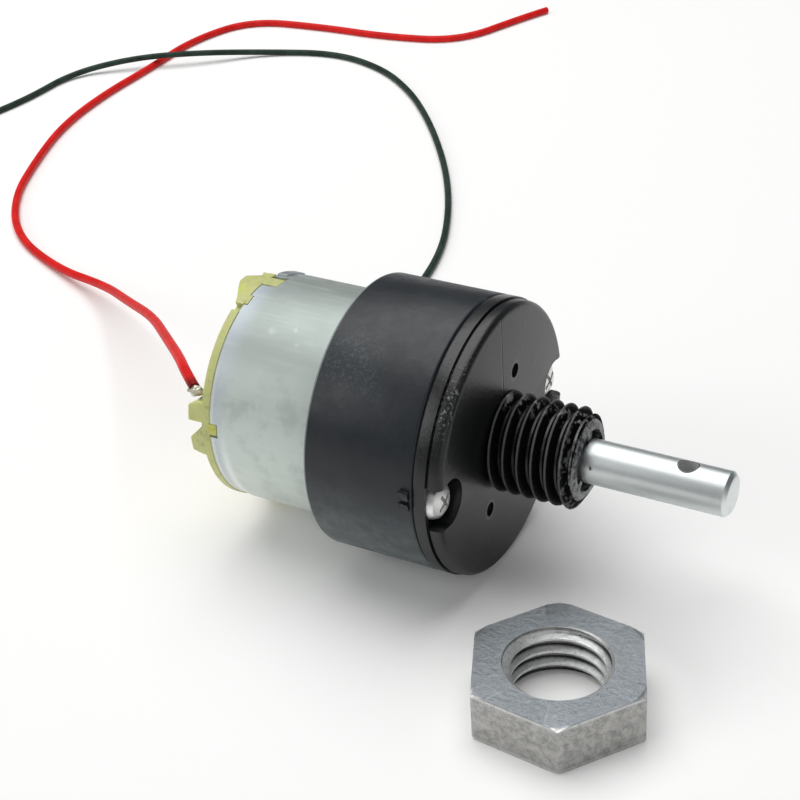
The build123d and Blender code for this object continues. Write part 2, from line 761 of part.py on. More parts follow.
# End cap: moulded nylon, alike at both terminals. Its fingers and pegs sit in the can's notches.
with BuildPart() as end_cap:
    with BuildSketch(Plane.XZ):
        with BuildLine():
            Polyline(
                (block_rear_x, 0),
                (block_rear_x, cap_boss_r - rim_break),
                (block_rear_x + rim_break, cap_boss_r),
                (cap_rear_x, cap_boss_r),
                (cap_rear_x, can_r - rim_break),
                (cap_rear_x + rim_break, can_r),
                (can_rear_x, can_r),
                (can_rear_x, can_r - can_wall - fit_gap),
                (can_rear_x + cap_spigot_length, can_r - can_wall - fit_gap),
                (can_rear_x + cap_spigot_length, can_r - can_wall - cap_spigot_wall),
                (can_rear_x, can_r - can_wall - cap_spigot_wall),
                (can_rear_x, motor_bush_r),
                (block_rear_x + can_wall, motor_bush_r),
                (block_rear_x + can_wall, 0),
                close=True,
            )
        make_face()
    revolve(axis=Axis.X)
    for side in (0, 180):
        # Blocks behind the plate: (radial width, start angle, end angle, depth)
        for width, start, end, depth in cap_blocks:
            with BuildSketch(cross_section(cap_rear_x)):
                add(ring_sector(can_r - width, can_r, start + side, end + side))
            extrude(amount=-depth)
        # Fingers and pegs in front of the plate: (start angle, end angle, depth)
        for start, end, depth in cap_fingers:
            with BuildSketch(cross_section(cap_rear_x)):
                add(ring_sector(can_r - can_wall - rim_break, can_r, start + side, end + side))
            extrude(amount=cap_plate + depth)
        # The rim is open beside the large block
        with BuildSketch(cross_section(cap_rear_x)):
            add(ring_sector(can_r - can_wall, can_r + can_wall, rim_gap[0] + side, rim_gap[1] + side))
        extrude(amount=cap_plate, mode=Mode.SUBTRACT)
        # Slot for the terminal
        with BuildSketch(radial_plane(block_rear_x, terminal_mid_r, terminal_angle + side)):
            Rectangle(
                terminal_width + 2 * fit_gap, terminal_thickness + fit_gap, align=(Align.CENTER, Align.MAX)
            )
        extrude(amount=can_rear_x + cap_spigot_length - block_rear_x, mode=Mode.SUBTRACT)
end_cap.part.label = "end_cap"
export_step(end_cap.part, "parts/end_cap.step")

# Brass terminals, one on each side, standing against the end cap's small block
with BuildPart() as terminals:
    for side in (0, 180):
        tag_x = block_rear_x - terminal_tail / 4
        with BuildSketch(radial_plane(tag_x, terminal_mid_r, terminal_angle + side)):
            Rectangle(terminal_width, terminal_thickness, align=(Align.CENTER, Align.MAX))
        extrude(amount=can_rear_x + terminal_tail - tag_x)
terminals.part.label = "terminals"
export_step(terminals.part, "parts/terminals.step")

# Carbon brushes on the commutator, and the spring arms that carry them
brush_mid_x = commutator_x + commutator_length / 2
with BuildPart() as brushes:
    for side in (0, 180):
        brush_x = brush_mid_x - brush_size / 2
        with BuildSketch(radial_plane(brush_x, commutator_r + fit_gap, brush_angle + side)):
            Rectangle(brush_size, brush_size, align=(Align.MIN, Align.CENTER))
        extrude(amount=brush_size)
brushes.part.label = "brushes"
export_step(brushes.part, "parts/brushes.step")

with BuildPart() as brush_arms:
    arm_r = commutator_r + fit_gap + brush_size + arm_gap + arm_thickness / 2
    root_r = terminal_mid_r - (terminal_width + arm_thickness) / 2
    arm_route = (
        (root_r, terminal_angle),
        (root_r, terminal_angle - arm_root_angle),
        (arm_r + arm_bow, brush_angle + arm_bow_angle),
        (arm_r, brush_angle),
    )
    for side in (0, 180):
        with BuildSketch(cross_section(brush_mid_x - brush_size / 2)):
            with BuildLine():
                Polyline(*[polar_point(radius, angle + side) for radius, angle in arm_route])
            trace(line_width=arm_thickness)
        extrude(amount=brush_size)
brush_arms.part.label = "brush_arms"
export_step(brush_arms.part, "parts/brush_arms.step")

# Solder joints: a bead on each terminal, round the wire's bared end
with BuildPart() as solder_joints:
    for side in (0, 180):
        bead_plane = radial_plane(block_rear_x, terminal_mid_r, terminal_angle + side)
        with Locations(bead_plane.offset(0).location * Location((0, -terminal_thickness - solder_r / 2, 0))):
            Sphere(solder_r)
        with BuildSketch(radial_plane(block_rear_x - solder_r, terminal_mid_r, terminal_angle + side)):
            Rectangle(4 * solder_r, 2 * solder_r + terminal_thickness, align=(Align.CENTER, Align.MIN))
            Rectangle(4 * solder_r, terminal_thickness, align=(Align.CENTER, Align.MAX))
        extrude(amount=2 * solder_r, mode=Mode.SUBTRACT)
solder_joints.part.label = "solder_joints"
export_step(solder_joints.part, "parts/solder_joints.step")


def wire_tube(points, radius):
    """An insulated wire along straight runs with a tangent bend at each point."""
    bends = []
    for before, at, after in zip(points, points[1:], points[2:]):
        run_in = Vector(*at) - Vector(*before)
        run_out = Vector(*after) - Vector(*at)
        half_turn = math.radians(run_in.get_angle(run_out)) / 2
        bends.append(bend_share * min(run_in.length, run_out.length) / math.tan(half_turn))
    with BuildPart() as tube:
        with BuildLine():
            route = FilletPolyline(*points, radius=bends)
        with BuildSketch(Plane(origin=route @ 0, z_dir=route % 0)):
            Circle(radius)
        sweep(path=route)
    section = math.pi * radius**2
    ratio = tube.part.volume / route.length / section
    print("length", round(route.length, 1), "volume ratio", round(ratio, 4))
    print("bend radii", [round(bend, 1) for bend in bends])
    return tube.part


# Red wire: from the near terminal down to the floor behind the motor, then along it to its cut end
red_floor = floor_z + red_wire_r
red_wire = wire_tube(
    [
        (-52.6, -12.57, 6.3),
        (-55.9, -10.2, 5.9),
        (-60.9, -4.8, 4.1),
        (-70.5, 4.9, 0.0),
        (-81.9, 16.5, -5.0),
        (-94.8, 26.7, -10.3),
        (-108.0, 37.2, -15.4),
        (-124.0, 43.3, red_floor),
        (-139.6, 51.0, red_floor),
        (-151.1, 64.6, red_floor),
        (-158.1, 80.5, red_floor),
        (-163.9, 96.9, red_floor),
        (-165.9, 114.3, red_floor),
        (-165.3, 131.6, red_floor),
        (-165.9, 149.3, red_floor),
        (-159.7, 165.4, red_floor),
        (-140.5, 167.4, red_floor),
        (-123.8, 167.1, red_floor),
        (-106.4, 170.5, red_floor),
        (-99.3, 188.5, red_floor),
        (-95.8, 195.6, red_floor),
    ],
    red_wire_r,
)
red_wire.label = "red_wire"
export_step(red_wire, "parts/red_wire.step")

# Dark wire: from the far terminal, behind the gearbox, round and over the red wire
dark_floor = floor_z + dark_wire_r
dark_over = floor_z + 2 * red_wire_r + dark_wire_r + crossing_gap
dark_wire = wire_tube(
    [
        (-52.6, 12.57, -6.3),
        (-56.9, 15.4, -9.9),
        (-59.6, 31.0, -16.7),
        (-57.9, 46.7, dark_floor),
        (-59.4, 61.9, dark_floor),
        (-62.3, 76.8, dark_floor),
        (-68.2, 90.9, dark_floor),
        (-75.4, 104.3, dark_floor),
        (-83.8, 117.0, dark_floor),
        (-93.0, 129.2, dark_floor),
        (-103.1, 140.5, dark_floor),
        (-115.1, 149.8, dark_floor),
        (-129.6, 154.2, dark_floor),
        (-144.9, 149.4, dark_floor),
        (-156.5, 139.3, dark_over),
        (-169.3, 131.3, dark_over),
        (-180.7, 122.3, dark_floor),
        (-180.9, 106.5, dark_floor),
        (-184.3, 92.0, dark_floor),
        (-186.8, 76.0, dark_floor),
        (-192.8, 61.0, dark_floor),
    ],
    dark_wire_r,
)
dark_wire.label = "dark_wire"
export_step(dark_wire, "parts/dark_wire.step")

# Threaded bore of the nut, as the solid that is cut out of it
with BuildPart() as nut_screw:
    with BuildSketch(Plane(origin=(nut_centre[0], nut_centre[1], floor_z - thread_pitch))):
        Circle(nut_bore_r)
    extrude(amount=nut_height + 2 * thread_pitch)
    with BuildLine():
        groove_path = Helix(
            thread_pitch,
            nut_height + 2 * thread_pitch,
            nut_bore_r,
            center=(nut_centre[0], nut_centre[1], floor_z - thread_pitch),
        )
    with BuildSketch(Plane(origin=groove_path @ 0, x_dir=(0, 0, 1), z_dir=groove_path % 0)):
        with BuildLine():
            thread_outline(nut_thread_r - nut_bore_r)
        make_face()
    sweep(path=groove_path, is_frenet=True)

# Mounting nut: hexagonal, bevelled on both faces, with a countersunk threaded bore
with BuildPart() as mounting_nut:
    nut_plane = Plane(origin=(nut_centre[0], nut_centre[1], floor_z))
    with BuildSketch(nut_plane):
        RegularPolygon(nut_corner_r, nut_sides, rotation=nut_turn_angle)
    extrude(amount=nut_height)
    with BuildSketch(Plane(origin=nut_plane.origin, x_dir=(1, 0, 0), z_dir=(0, -1, 0))):
        with BuildLine():
            Polyline(
                (0, 0),
                (nut_face_r, 0),
                (nut_corner_r + rim_break, nut_bevel_drop),
                (nut_corner_r + rim_break, nut_height - nut_bevel_drop),
                (nut_face_r, nut_height),
                (0, nut_height),
                close=True,
            )
        make_face()
    revolve(axis=Axis(nut_plane.origin, (0, 0, 1)), mode=Mode.INTERSECT)
    add(nut_screw.part, mode=Mode.SUBTRACT)
    with BuildSketch(Plane(origin=nut_plane.origin, x_dir=(1, 0, 0), z_dir=(0, -1, 0))):
        with BuildLine():
            Polyline((0, 0), (nut_mouth_r, 0), (0, nut_mouth_r), close=True)
        make_face()
        with BuildLine():
            Polyline((0, nut_height), (nut_mouth_r, nut_height), (0, nut_height - nut_mouth_r), close=True)
        make_face()
    revolve(axis=Axis(nut_plane.origin, (0, 0, 1)), mode=Mode.SUBTRACT)
mounting_nut.part.label = "mounting_nut"
export_step(mounting_nut.part, "parts/mounting_nut.step")
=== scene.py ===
import math

import bmesh
import bpy
from mathutils import Matrix, Vector, noise


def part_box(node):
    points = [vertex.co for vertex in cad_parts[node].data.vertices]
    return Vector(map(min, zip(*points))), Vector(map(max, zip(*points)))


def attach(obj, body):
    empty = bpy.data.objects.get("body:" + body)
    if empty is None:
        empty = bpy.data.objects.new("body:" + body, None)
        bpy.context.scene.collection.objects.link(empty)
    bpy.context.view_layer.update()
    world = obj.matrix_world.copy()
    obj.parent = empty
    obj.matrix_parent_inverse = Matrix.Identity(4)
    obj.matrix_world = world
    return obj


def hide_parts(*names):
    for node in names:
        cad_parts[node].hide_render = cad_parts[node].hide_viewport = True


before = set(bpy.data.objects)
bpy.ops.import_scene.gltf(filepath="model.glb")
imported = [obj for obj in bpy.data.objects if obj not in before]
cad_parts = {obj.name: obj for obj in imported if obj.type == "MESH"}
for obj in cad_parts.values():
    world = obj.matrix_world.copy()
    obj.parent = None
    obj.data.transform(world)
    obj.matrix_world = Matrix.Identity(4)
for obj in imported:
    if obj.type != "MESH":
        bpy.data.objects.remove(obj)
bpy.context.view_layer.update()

scene = bpy.context.scene
mm = 0.001

# Camera
# The photograph's own viewpoint: a long lens, looking down at the shaft's end and at the loose nut.
camera_place = Vector((78.26, -180.64, 132.94)) * mm
camera_right = Vector((0.877769, 0.475722, -0.056661))
camera_up = Vector((-0.210138, 0.488595, 0.846827))
camera_lens = 81.7
camera = bpy.data.objects.new("camera", bpy.data.cameras.new("camera"))
camera.data.lens = camera_lens
camera.data.clip_start = 0.01
camera.data.clip_end = 10
camera_axes = Matrix((camera_right, camera_up, camera_right.cross(camera_up))).transposed()
camera.matrix_world = Matrix.Translation(camera_place) @ camera_axes.to_4x4()
scene.collection.objects.link(camera)
scene.camera = camera

# Red wire
# A limp PVC lead of 1.5 mm, soldered to the near terminal. It drops to the floor behind the motor and
# runs in a wide loop to a plainly cut end.
red_wire_r = 0.75 * mm
core_share = 0.55
# A painted shade darkens the red lead's insulation round this point, by its soldered end.
red_shaded_spot = (-53.0, -13.0, 4.9)
red_route = [
    (-52.6, -12.88, 5.65),
    (-55.9, -10.2, 5.9),
    (-60.9, -4.8, 4.1),
    (-70.5, 4.9, 0.0),
    (-81.9, 16.5, -5.0),
    (-94.8, 26.7, -10.3),
    (-108.0, 37.2, -15.4),
    (-124.0, 43.3, -18.25),
    (-139.6, 51.0, -18.25),
    (-151.1, 64.6, -18.25),
    (-158.1, 80.5, -18.25),
    (-163.9, 96.9, -18.25),
    (-165.9, 114.3, -18.25),
    (-165.3, 131.6, -18.25),
    (-165.9, 149.3, -18.25),
    (-159.7, 165.4, -18.25),
    (-140.5, 167.4, -18.25),
    (-123.8, 167.1, -18.25),
    (-106.4, 170.5, -18.25),
    (-99.3, 188.5, -18.25),
    (-95.8, 195.6, -18.25),
]


class Value:
    """A number or colour that a shader node gives. Plain arithmetic on it adds Math nodes."""

    def __init__(self, finish, socket):
        self.finish = finish
        self.socket = socket

    def _math(self, operation, first, second):
        return self.finish.node("Math", {"operation": operation}, {0: first, 1: second})

    def __add__(self, other):
        return self._math("ADD", self, other)

    def __radd__(self, other):
        return self._math("ADD", other, self)

    def __sub__(self, other):
        return self._math("SUBTRACT", self, other)

    def __rsub__(self, other):
        return self._math("SUBTRACT", other, self)

    def __mul__(self, other):
        return self._math("MULTIPLY", self, other)

    def __rmul__(self, other):
        return self._math("MULTIPLY", other, self)

    def __truediv__(self, other):
        return self._math("DIVIDE", self, other)

    def __pow__(self, other):
        return self._math("POWER", self, other)


class Finish:
    """A material of the motor, written as expressions on its shader's values."""

    def __init__(self, name, **constants):
        self.material = bpy.data.materials.new(name)
        self.material.use_nodes = True
        self.tree = self.material.node_tree
        self.shader = self.tree.nodes["Principled BSDF"]
        self.put(self.shader, constants)
        self.place = self.node("TexCoord", output="Object")

    def put(self, node, values):
        for socket, value in values.items():
            if isinstance(value, Value):
                self.tree.links.new(value.socket, node.inputs[socket])
            else:
                node.inputs[socket].default_value = value

    def node(self, kind, settings=None, values=None, output=0):
        made = self.tree.nodes.new("ShaderNode" + kind)
        for setting, value in (settings or {}).items():
            setattr(made, setting, value)
        self.put(made, values or {})
        return Value(self, made.outputs[output])

    def along(self, axis):
        """The distance along the row's X, Y or Z, in millimetres."""
        return self.node("SeparateXYZ", values={0: self.place}, output=axis) * 1000

    def grain(self, size, detail=2.0, stretch=(1, 1, 1), roughness=0.5):
        """Cloudy noise from 0 to 1, with features of a size in millimetres."""
        scaled = self.node("Mapping", values={"Vector": self.place, "Scale": Vector(stretch)})
        values = {"Vector": scaled, "Scale": 1000 / size, "Detail": detail, "Roughness": roughness}
        return self.node("TexNoise", values=values)

    def ramp(self, value, low, high):
        """0 below low, 1 above high and smooth between them."""
        values = {"Value": value, "From Min": low, "From Max": high}
        return self.node("MapRange", {"interpolation_type": "SMOOTHSTEP"}, values)

    def band(self, value, centre, width):
        """1 at a centre, fading to 0 at a width on each side of it."""
        away = self.node("Math", {"operation": "ABSOLUTE"}, {0: value - centre})
        return 1 - self.ramp(away, 0, width)

    def mix(self, share, first, second):
        """One colour turning into another."""
        settings = {"data_type": "RGBA"}
        colours = {6: rgba(first), 7: rgba(second)}
        return self.node("Mix", settings, {0: share, **colours}, output=2)

    def bump(self, height, depth, under=None):
        """Relief of a depth in millimetres."""
        values = {"Height": height, "Distance": depth * mm, "Strength": 1.0}
        if under:
            values["Normal"] = under
        return self.node("Bump", values=values)

    def wear(self, **links):
        """Sets what changes over the surface, and gives the material."""
        self.put(self.shader, {name.replace("_", " "): value for name, value in links.items()})
        return self.material


def rgba(colour):
    return colour if isinstance(colour, Value) else (*colour, 1.0)


def wire_curve(name, route, radius, finish):
    """An insulated wire as a smooth round curve through a given route."""
    curve = bpy.data.curves.new(name, "CURVE")
    curve.dimensions = "3D"
    curve.bevel_depth = radius
    curve.bevel_resolution = 6
    curve.resolution_u = 12
    curve.use_fill_caps = True
    line = curve.splines.new("NURBS")
    line.points.add(len(route) - 1)
    for point, place in zip(line.points, route):
        point.co = (*(Vector(place) * mm), 1.0)
    line.order_u = 3
    line.use_endpoint_u = True
    piece = bpy.data.objects.new(name, curve)
    scene.collection.objects.link(piece)
    curve.materials.append(finish)
    return piece


def spots(finish, places):
    """Ragged marks at fixed places: (centre, reach, strength) in millimetres."""
    total = 0
    for centre, reach, strength in places:
        values = {0: finish.place, 1: Vector(centre) * mm}
        away = finish.node("VectorMath", {"operation": "DISTANCE"}, values, output=1)
        ragged = away * 1000 + 0.9 * finish.grain(0.5, detail=3) - 0.45
        total = strength * finish.band(ragged, 0.0, reach) + total
    return total


def insulation(name, colour, deep_colour, sheen, shaded_spot):
    """Extruded PVC: smooth and a little greasy, with faint waves and dust, and a painted shade that darkens it
    round its soldered end.
    """
    pvc = Finish(name, **{"Specular IOR Level": 0.18})
    cloud = pvc.grain(3.0, detail=3)
    dust = pvc.ramp(pvc.grain(0.5, detail=4), 0.62, 0.8)
    skin = pvc.bump(pvc.grain(1.2, detail=1), 0.05)
    plain = pvc.mix(pvc.ramp(cloud, 0.3, 0.7), deep_colour, colour)
    # Painted shade: the insulation is darkened round a fixed point near its soldered end.
    painted_end_shade = spots(pvc, ((shaded_spot, 3.0, 1.7),))
    return pvc.wear(
        Base_Color=pvc.mix(painted_end_shade, plain, tuple(0.22 * value for value in deep_colour)),
        Roughness=sheen + 0.1 * cloud + 0.15 * dust,
        Normal=pvc.bump(pvc.grain(0.25), 0.006, skin),
    )


def copper_end(name, route, radius):
    """The copper core at a wire's cut end, almost flush with its insulation."""
    last = Vector(route[-1])
    way = (last - Vector(route[-2])).normalized()
    core = wire_curve(name, [last - 1.0 * way, last - 0.5 * way, last + 0.02 * way], radius, cut_copper)
    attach(core, "gearbox")
    return core


copper_finish = Finish("cut_copper", Metallic=1.0)
copper_ends = copper_finish.grain(0.2, detail=1)
cut_copper = copper_finish.wear(
    Base_Color=copper_finish.mix(copper_ends, (0.80, 0.42, 0.24), (0.42, 0.19, 0.10)),
    Roughness=0.3 + 0.2 * copper_ends,
    Normal=copper_finish.bump(copper_ends, 0.05),
)
red_pvc = insulation("red_pvc", (0.80, 0.016, 0.012), (0.66, 0.008, 0.008), 0.42, red_shaded_spot)
red_lead = wire_curve("red_lead", red_route, red_wire_r, red_pvc)
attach(red_lead, "gearbox")
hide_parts("red_wire")
copper_end("red_copper", red_route, core_share * red_wire_r)

# Dark wire
# The second lead, dark green and a little thinner, from the far terminal. It comes out from behind the
# gearbox, crosses over the red lead in a low hump and leaves the view at the left.
dark_wire_r = 0.65 * mm
# A painted shade darkens the dark lead's insulation round this point, by its soldered end.
dark_shaded_spot = (-53.0, 13.0, -6.9)
dark_route = [
    (-52.6, 12.57, -6.3),
    (-56.9, 15.4, -9.9),
    (-59.6, 31.0, -16.7),
    (-57.9, 46.7, -18.35),
    (-59.4, 61.9, -18.35),
    (-62.3, 76.8, -18.35),
    (-68.2, 90.9, -18.35),
    (-75.4, 104.3, -18.35),
    (-83.8, 117.0, -18.35),
    (-93.0, 129.2, -18.35),
    (-103.1, 140.5, -18.35),
    (-115.1, 149.8, -18.35),
    (-129.6, 154.2, -18.35),
    (-144.9, 149.4, -18.35),
    (-156.5, 139.3, -16.35),
    (-169.3, 131.3, -16.35),
    (-180.7, 122.3, -18.35),
    (-180.9, 106.5, -18.35),
    (-184.3, 92.0, -18.35),
    (-186.8, 76.0, -18.35),
    (-192.8, 61.0, -18.35),
]
dark_pvc = insulation("dark_pvc", (0.030, 0.056, 0.042), (0.014, 0.028, 0.021), 0.4, dark_shaded_spot)
dark_lead = wire_curve("dark_lead", dark_route, dark_wire_r, dark_pvc)
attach(dark_lead, "gearbox")
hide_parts("dark_wire")
copper_end("dark_copper", dark_route, core_share * dark_wire_r)

# Gearbox cup
# The black moulded drum that holds the gears. It is turned here as one hollow wall with its inner web
# and rear socket, softly rounded at its edges.
cup_low, cup_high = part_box("gearbox_cup")
lid_low, lid_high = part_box("gearbox_lid")
can_low, can_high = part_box("motor_can")
gearbox_r = cup_high.z
can_r = can_high.z
cup_rear = cup_low.x
seam = cup_high.x
fit_gap = 0.05 * mm
cup_wall = 1.8 * mm
socket_depth = 6.0 * mm
web_rear = cup_rear + socket_depth
web_front = web_rear + 2.0 * mm
cup_bore_r = gearbox_r - cup_wall
can_boss_r = 4.0 * mm
turned_steps = 192


def turned(outline, steps=turned_steps, rounding=0.0, corners=()):
    """A closed outline of (x, radius) points turned about the shaft, with some of its corners rounded."""
    form = bmesh.new()
    points = [form.verts.new((x, 0, radius)) for x, radius in outline]
    for pair in zip(points, points[1:] + points[:1]):
        form.edges.new(pair)
    roundings = rounding if isinstance(rounding, tuple) else (rounding,) * len(corners)
    for index, offset in zip(corners, roundings):
        bmesh.ops.bevel(
            form, geom=[points[index]], offset=offset, segments=4, profile=0.5, affect="VERTICES", material=-1
        )
    bmesh.ops.spin(
        form,
        geom=form.verts[:] + form.edges[:],
        cent=(0, 0, 0),
        axis=(1, 0, 0),
        angle=math.tau,
        steps=steps,
        use_merge=True,
    )
    bmesh.ops.recalc_face_normals(form, faces=form.faces)
    return form


def made(name, form, finish, smooth_angle=35):
    """Turns a bmesh into a piece with one finish, smooth apart from its sharp edges."""
    mesh = bpy.data.meshes.new(name)
    form.to_mesh(mesh)
    form.free()
    mesh.materials.append(finish)
    mesh.shade_smooth()
    mesh.set_sharp_from_angle(angle=math.radians(smooth_angle))
    piece = bpy.data.objects.new(name, mesh)
    scene.collection.objects.link(piece)
    return piece


def cut(piece, cutters, operation="DIFFERENCE"):
    """Cuts, adds or trims a piece with others, which are used up."""
    for cutter in cutters:
        step = piece.modifiers.new("cut", "BOOLEAN")
        step.operation = operation
        step.solver = "EXACT"
        step.object = cutter
    bake(piece)
    for cutter in cutters:
        bpy.data.objects.remove(cutter)
    return piece


def bake(piece, smooth_angle=35):
    """Makes the result of a piece's modifiers its own mesh."""
    graph = bpy.context.evaluated_depsgraph_get()
    mesh = bpy.data.meshes.new_from_object(piece.evaluated_get(graph))
    piece.modifiers.clear()
    piece.data = mesh
    mesh.shade_smooth()
    mesh.set_sharp_from_angle(angle=math.radians(smooth_angle))
    return piece


def ease(piece, width, segments=2, angle=35):
    """Rounds the sharp edges of a piece."""
    step = piece.modifiers.new("ease", "BEVEL")
    step.width = width
    step.segments = segments
    step.limit_method = "ANGLE"
    step.angle_limit = math.radians(angle)
    step.harden_normals = False
    return bake(piece, 50)


def moulded_black(name, clear=0.0, grain_depth=0.012):
    """Black moulded plastic: a soft sheen that changes in clouds, over a fine spark-eroded grain, with a painted
    paler lower side and a painted highlight along the rear edge.
    """
    plastic = Finish(name, **{"Specular IOR Level": 0.42})
    clouds = plastic.grain(6.0, detail=4, roughness=0.6)
    blotches = plastic.ramp(plastic.grain(2.2, detail=5, roughness=0.65), 0.35, 0.7)
    dust = plastic.ramp(plastic.grain(0.35, detail=3), 0.66, 0.8)
    scratches = plastic.ramp(plastic.grain(1.6, detail=3, stretch=(0.12, 1, 1)), 0.62, 0.74)
    skin = plastic.bump(plastic.grain(0.22, detail=2), grain_depth)
    sparks = plastic.ramp(plastic.grain(0.45, detail=2, roughness=0.7), 0.5, 0.66)
    # Pale patches at fixed places lighten the drum's colour.
    pale_patches = spots(plastic, cup_pale_patches) * (0.25 + sparks)
    radius = (plastic.along(1) * plastic.along(1) + plastic.along(2) * plastic.along(2)) ** 0.5
    # Painted light: the drum's lower side is made paler, as if lit by the floor.
    painted_floor_light = plastic.ramp(-1 * plastic.along(2), -3.0, 15.0) * plastic.ramp(radius, 18.8, 18.9)
    # Painted highlight: a pale line along the drum's rear edge.
    painted_drum_rim_highlight = plastic.ramp(-1 * plastic.along(0) + cup_rear * 1000, -0.38, -0.28) * plastic.ramp(radius, 18.75, 18.85)
    plain = plastic.mix(0.65 * clouds + 0.25 * dust, (0.0080, 0.0110, 0.0150), (0.0250, 0.0310, 0.0370))
    return plastic.wear(
        Base_Color=plastic.mix(0.7 * pale_patches + 0.55 * painted_floor_light * (0.6 + 0.4 * blotches) + 0.8 * painted_drum_rim_highlight, plain, (0.26, 0.30, 0.31)),
        Roughness=0.44 - clear - 0.10 * blotches + 0.10 * dust - 0.04 * scratches,
        Normal=plastic.bump(clouds, 0.10, skin),
    )


# Pale patches on the drum: (centre, reach, strength) in millimetres.
cup_pale_patches = (
    ((-28.5, -11.1, 15.4), 7.0, 0.24),
    ((-24.0, -14.0, 12.8), 3.5, 0.10),
    ((-15.9, 3.6, 18.6), 1.4, 0.5),
)
cup_black = moulded_black("cup_black")
cup_outline = [
    (cup_rear, gearbox_r),
    (seam, gearbox_r),
    (seam, cup_bore_r),
    (web_front, cup_bore_r),
    (web_front, can_boss_r + fit_gap),
    (web_rear, can_boss_r + fit_gap),
    (web_rear, can_r + fit_gap),
    (cup_rear, can_r + fit_gap),
]
cup_form = turned(cup_outline, rounding=(0.3 * mm, 0.45 * mm, 0.3 * mm), corners=(0, 1, 7))
cup_drum = made("cup_drum", cup_form, cup_black)
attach(cup_drum, "gearbox")
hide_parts("gearbox_cup")

# Moulding gate
# The sprue stub left beside the seam where the cup was broken off its runner: two rough black prongs.
gate_long = 1.4 * mm
gate_out = 0.55 * mm
gate_prongs = ((-0.15, 0.9), (1.3, 1.1))


def block(low, high, turn=0.0):
    """A box between two corners, turned about the shaft's axis."""
    form = bmesh.new()
    low, high = Vector(low), Vector(high)
    bmesh.ops.create_cube(form, size=1.0)
    bmesh.ops.scale(form, vec=high - low, verts=form.verts)
    bmesh.ops.translate(form, vec=(low + high) / 2, verts=form.verts)
    bmesh.ops.rotate(form, cent=(0, 0, 0), matrix=Matrix.Rotation(turn, 3, "X"), verts=form.verts)
    return form


def roughened(form, amount, size, seed=0.0):
    """Pushes a form's points about by smooth noise, as on a torn or cast surface."""
    for point in form.verts:
        spot = point.co / size + Vector((seed, seed, seed))
        point.co += noise.noise_vector(spot) * amount
    return form


gate_pieces = []
for low, tall in gate_prongs:
    gate_form = block(
        (seam - 0.3 * mm - gate_long, -gearbox_r - gate_out, low * mm),
        (seam - 0.3 * mm, -gearbox_r + 0.4 * mm, (low + tall) * mm),
    )
    bmesh.ops.subdivide_edges(gate_form, edges=gate_form.edges[:], cuts=4, use_grid_fill=True)
    gate_pieces.append(made("gate_stub", roughened(gate_form, 0.16 * mm, 0.5 * mm, seed=low), cup_black))
gate_stub = cut(gate_pieces[0], gate_pieces[1:], "UNION")
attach(gate_stub, "gearbox")

# Gearbox lid
# The black moulded front: a flange ring, a shallow step and a flat face, cut open at the side for each
# screw, with two pin holes. It is hollow behind its plate and carries the boss in one piece.
boss_end = lid_high.x
face = boss_end - 12.25 * mm
lid_plate = face - 2.7 * mm
lid_flange = seam + 1.8 * mm
lid_side_r = gearbox_r - 0.25 * mm
step_groove = 0.3 * mm
face_round = 0.9 * mm
spigot_r = 15.9 * mm
bush_r = 4.0 * mm
bush_end = lid_plate + 10.0 * mm
shaft_mouth_r = 3.2 * mm
boss_root_r = 5.7 * mm
boss_end_r = 4.9 * mm
boss_taper = 0.55 * mm
screw_circle = 16.0 * mm
screw_seat = seam + 1.0 * mm
recess_r = 3.3 * mm
mouth_half = 3.1 * mm
pad_r = 4.2 * mm
pin_r = 1.0 * mm
pin_circle = 9.5 * mm
pin_angles = (68.0, 238.0)
pocket_r = 4.2 * mm
pocket_depth = 1.2 * mm
pockets = ((98, 202), (218, 322), (338, 442))


def polar(radius, angle):
    """The Y and Z of a point round the shaft, with the angle in degrees from +Y towards +Z."""
    return radius * math.cos(math.radians(angle)), radius * math.sin(math.radians(angle))


def rod(start, end, radius, y=0.0, z=0.0, segments=64):
    """A round bar along the shaft's direction between two stations."""
    form = bmesh.new()
    place = Matrix.Translation(((start + end) / 2, y, z)) @ Matrix.Rotation(math.pi / 2, 4, "Y")
    bmesh.ops.create_cone(
        form, cap_ends=True, segments=segments, radius1=radius, radius2=radius, depth=end - start, matrix=place
    )
    return form


def wedge(inner, outer, start, end, low, high):
    """A sector of a ring between two angles and two stations."""
    form = bmesh.new()
    corners = ((low, inner), (high, inner), (high, outer), (low, outer))
    form.faces.new([form.verts.new((x, *polar(radius, start))) for x, radius in corners])
    bmesh.ops.spin(
        form,
        geom=form.verts[:] + form.edges[:] + form.faces[:],
        cent=(0, 0, 0),
        axis=(1, 0, 0),
        angle=math.radians(end - start),
        steps=max(2, round((end - start) / 1.875)),
    )
    bmesh.ops.recalc_face_normals(form, faces=form.faces)
    return form


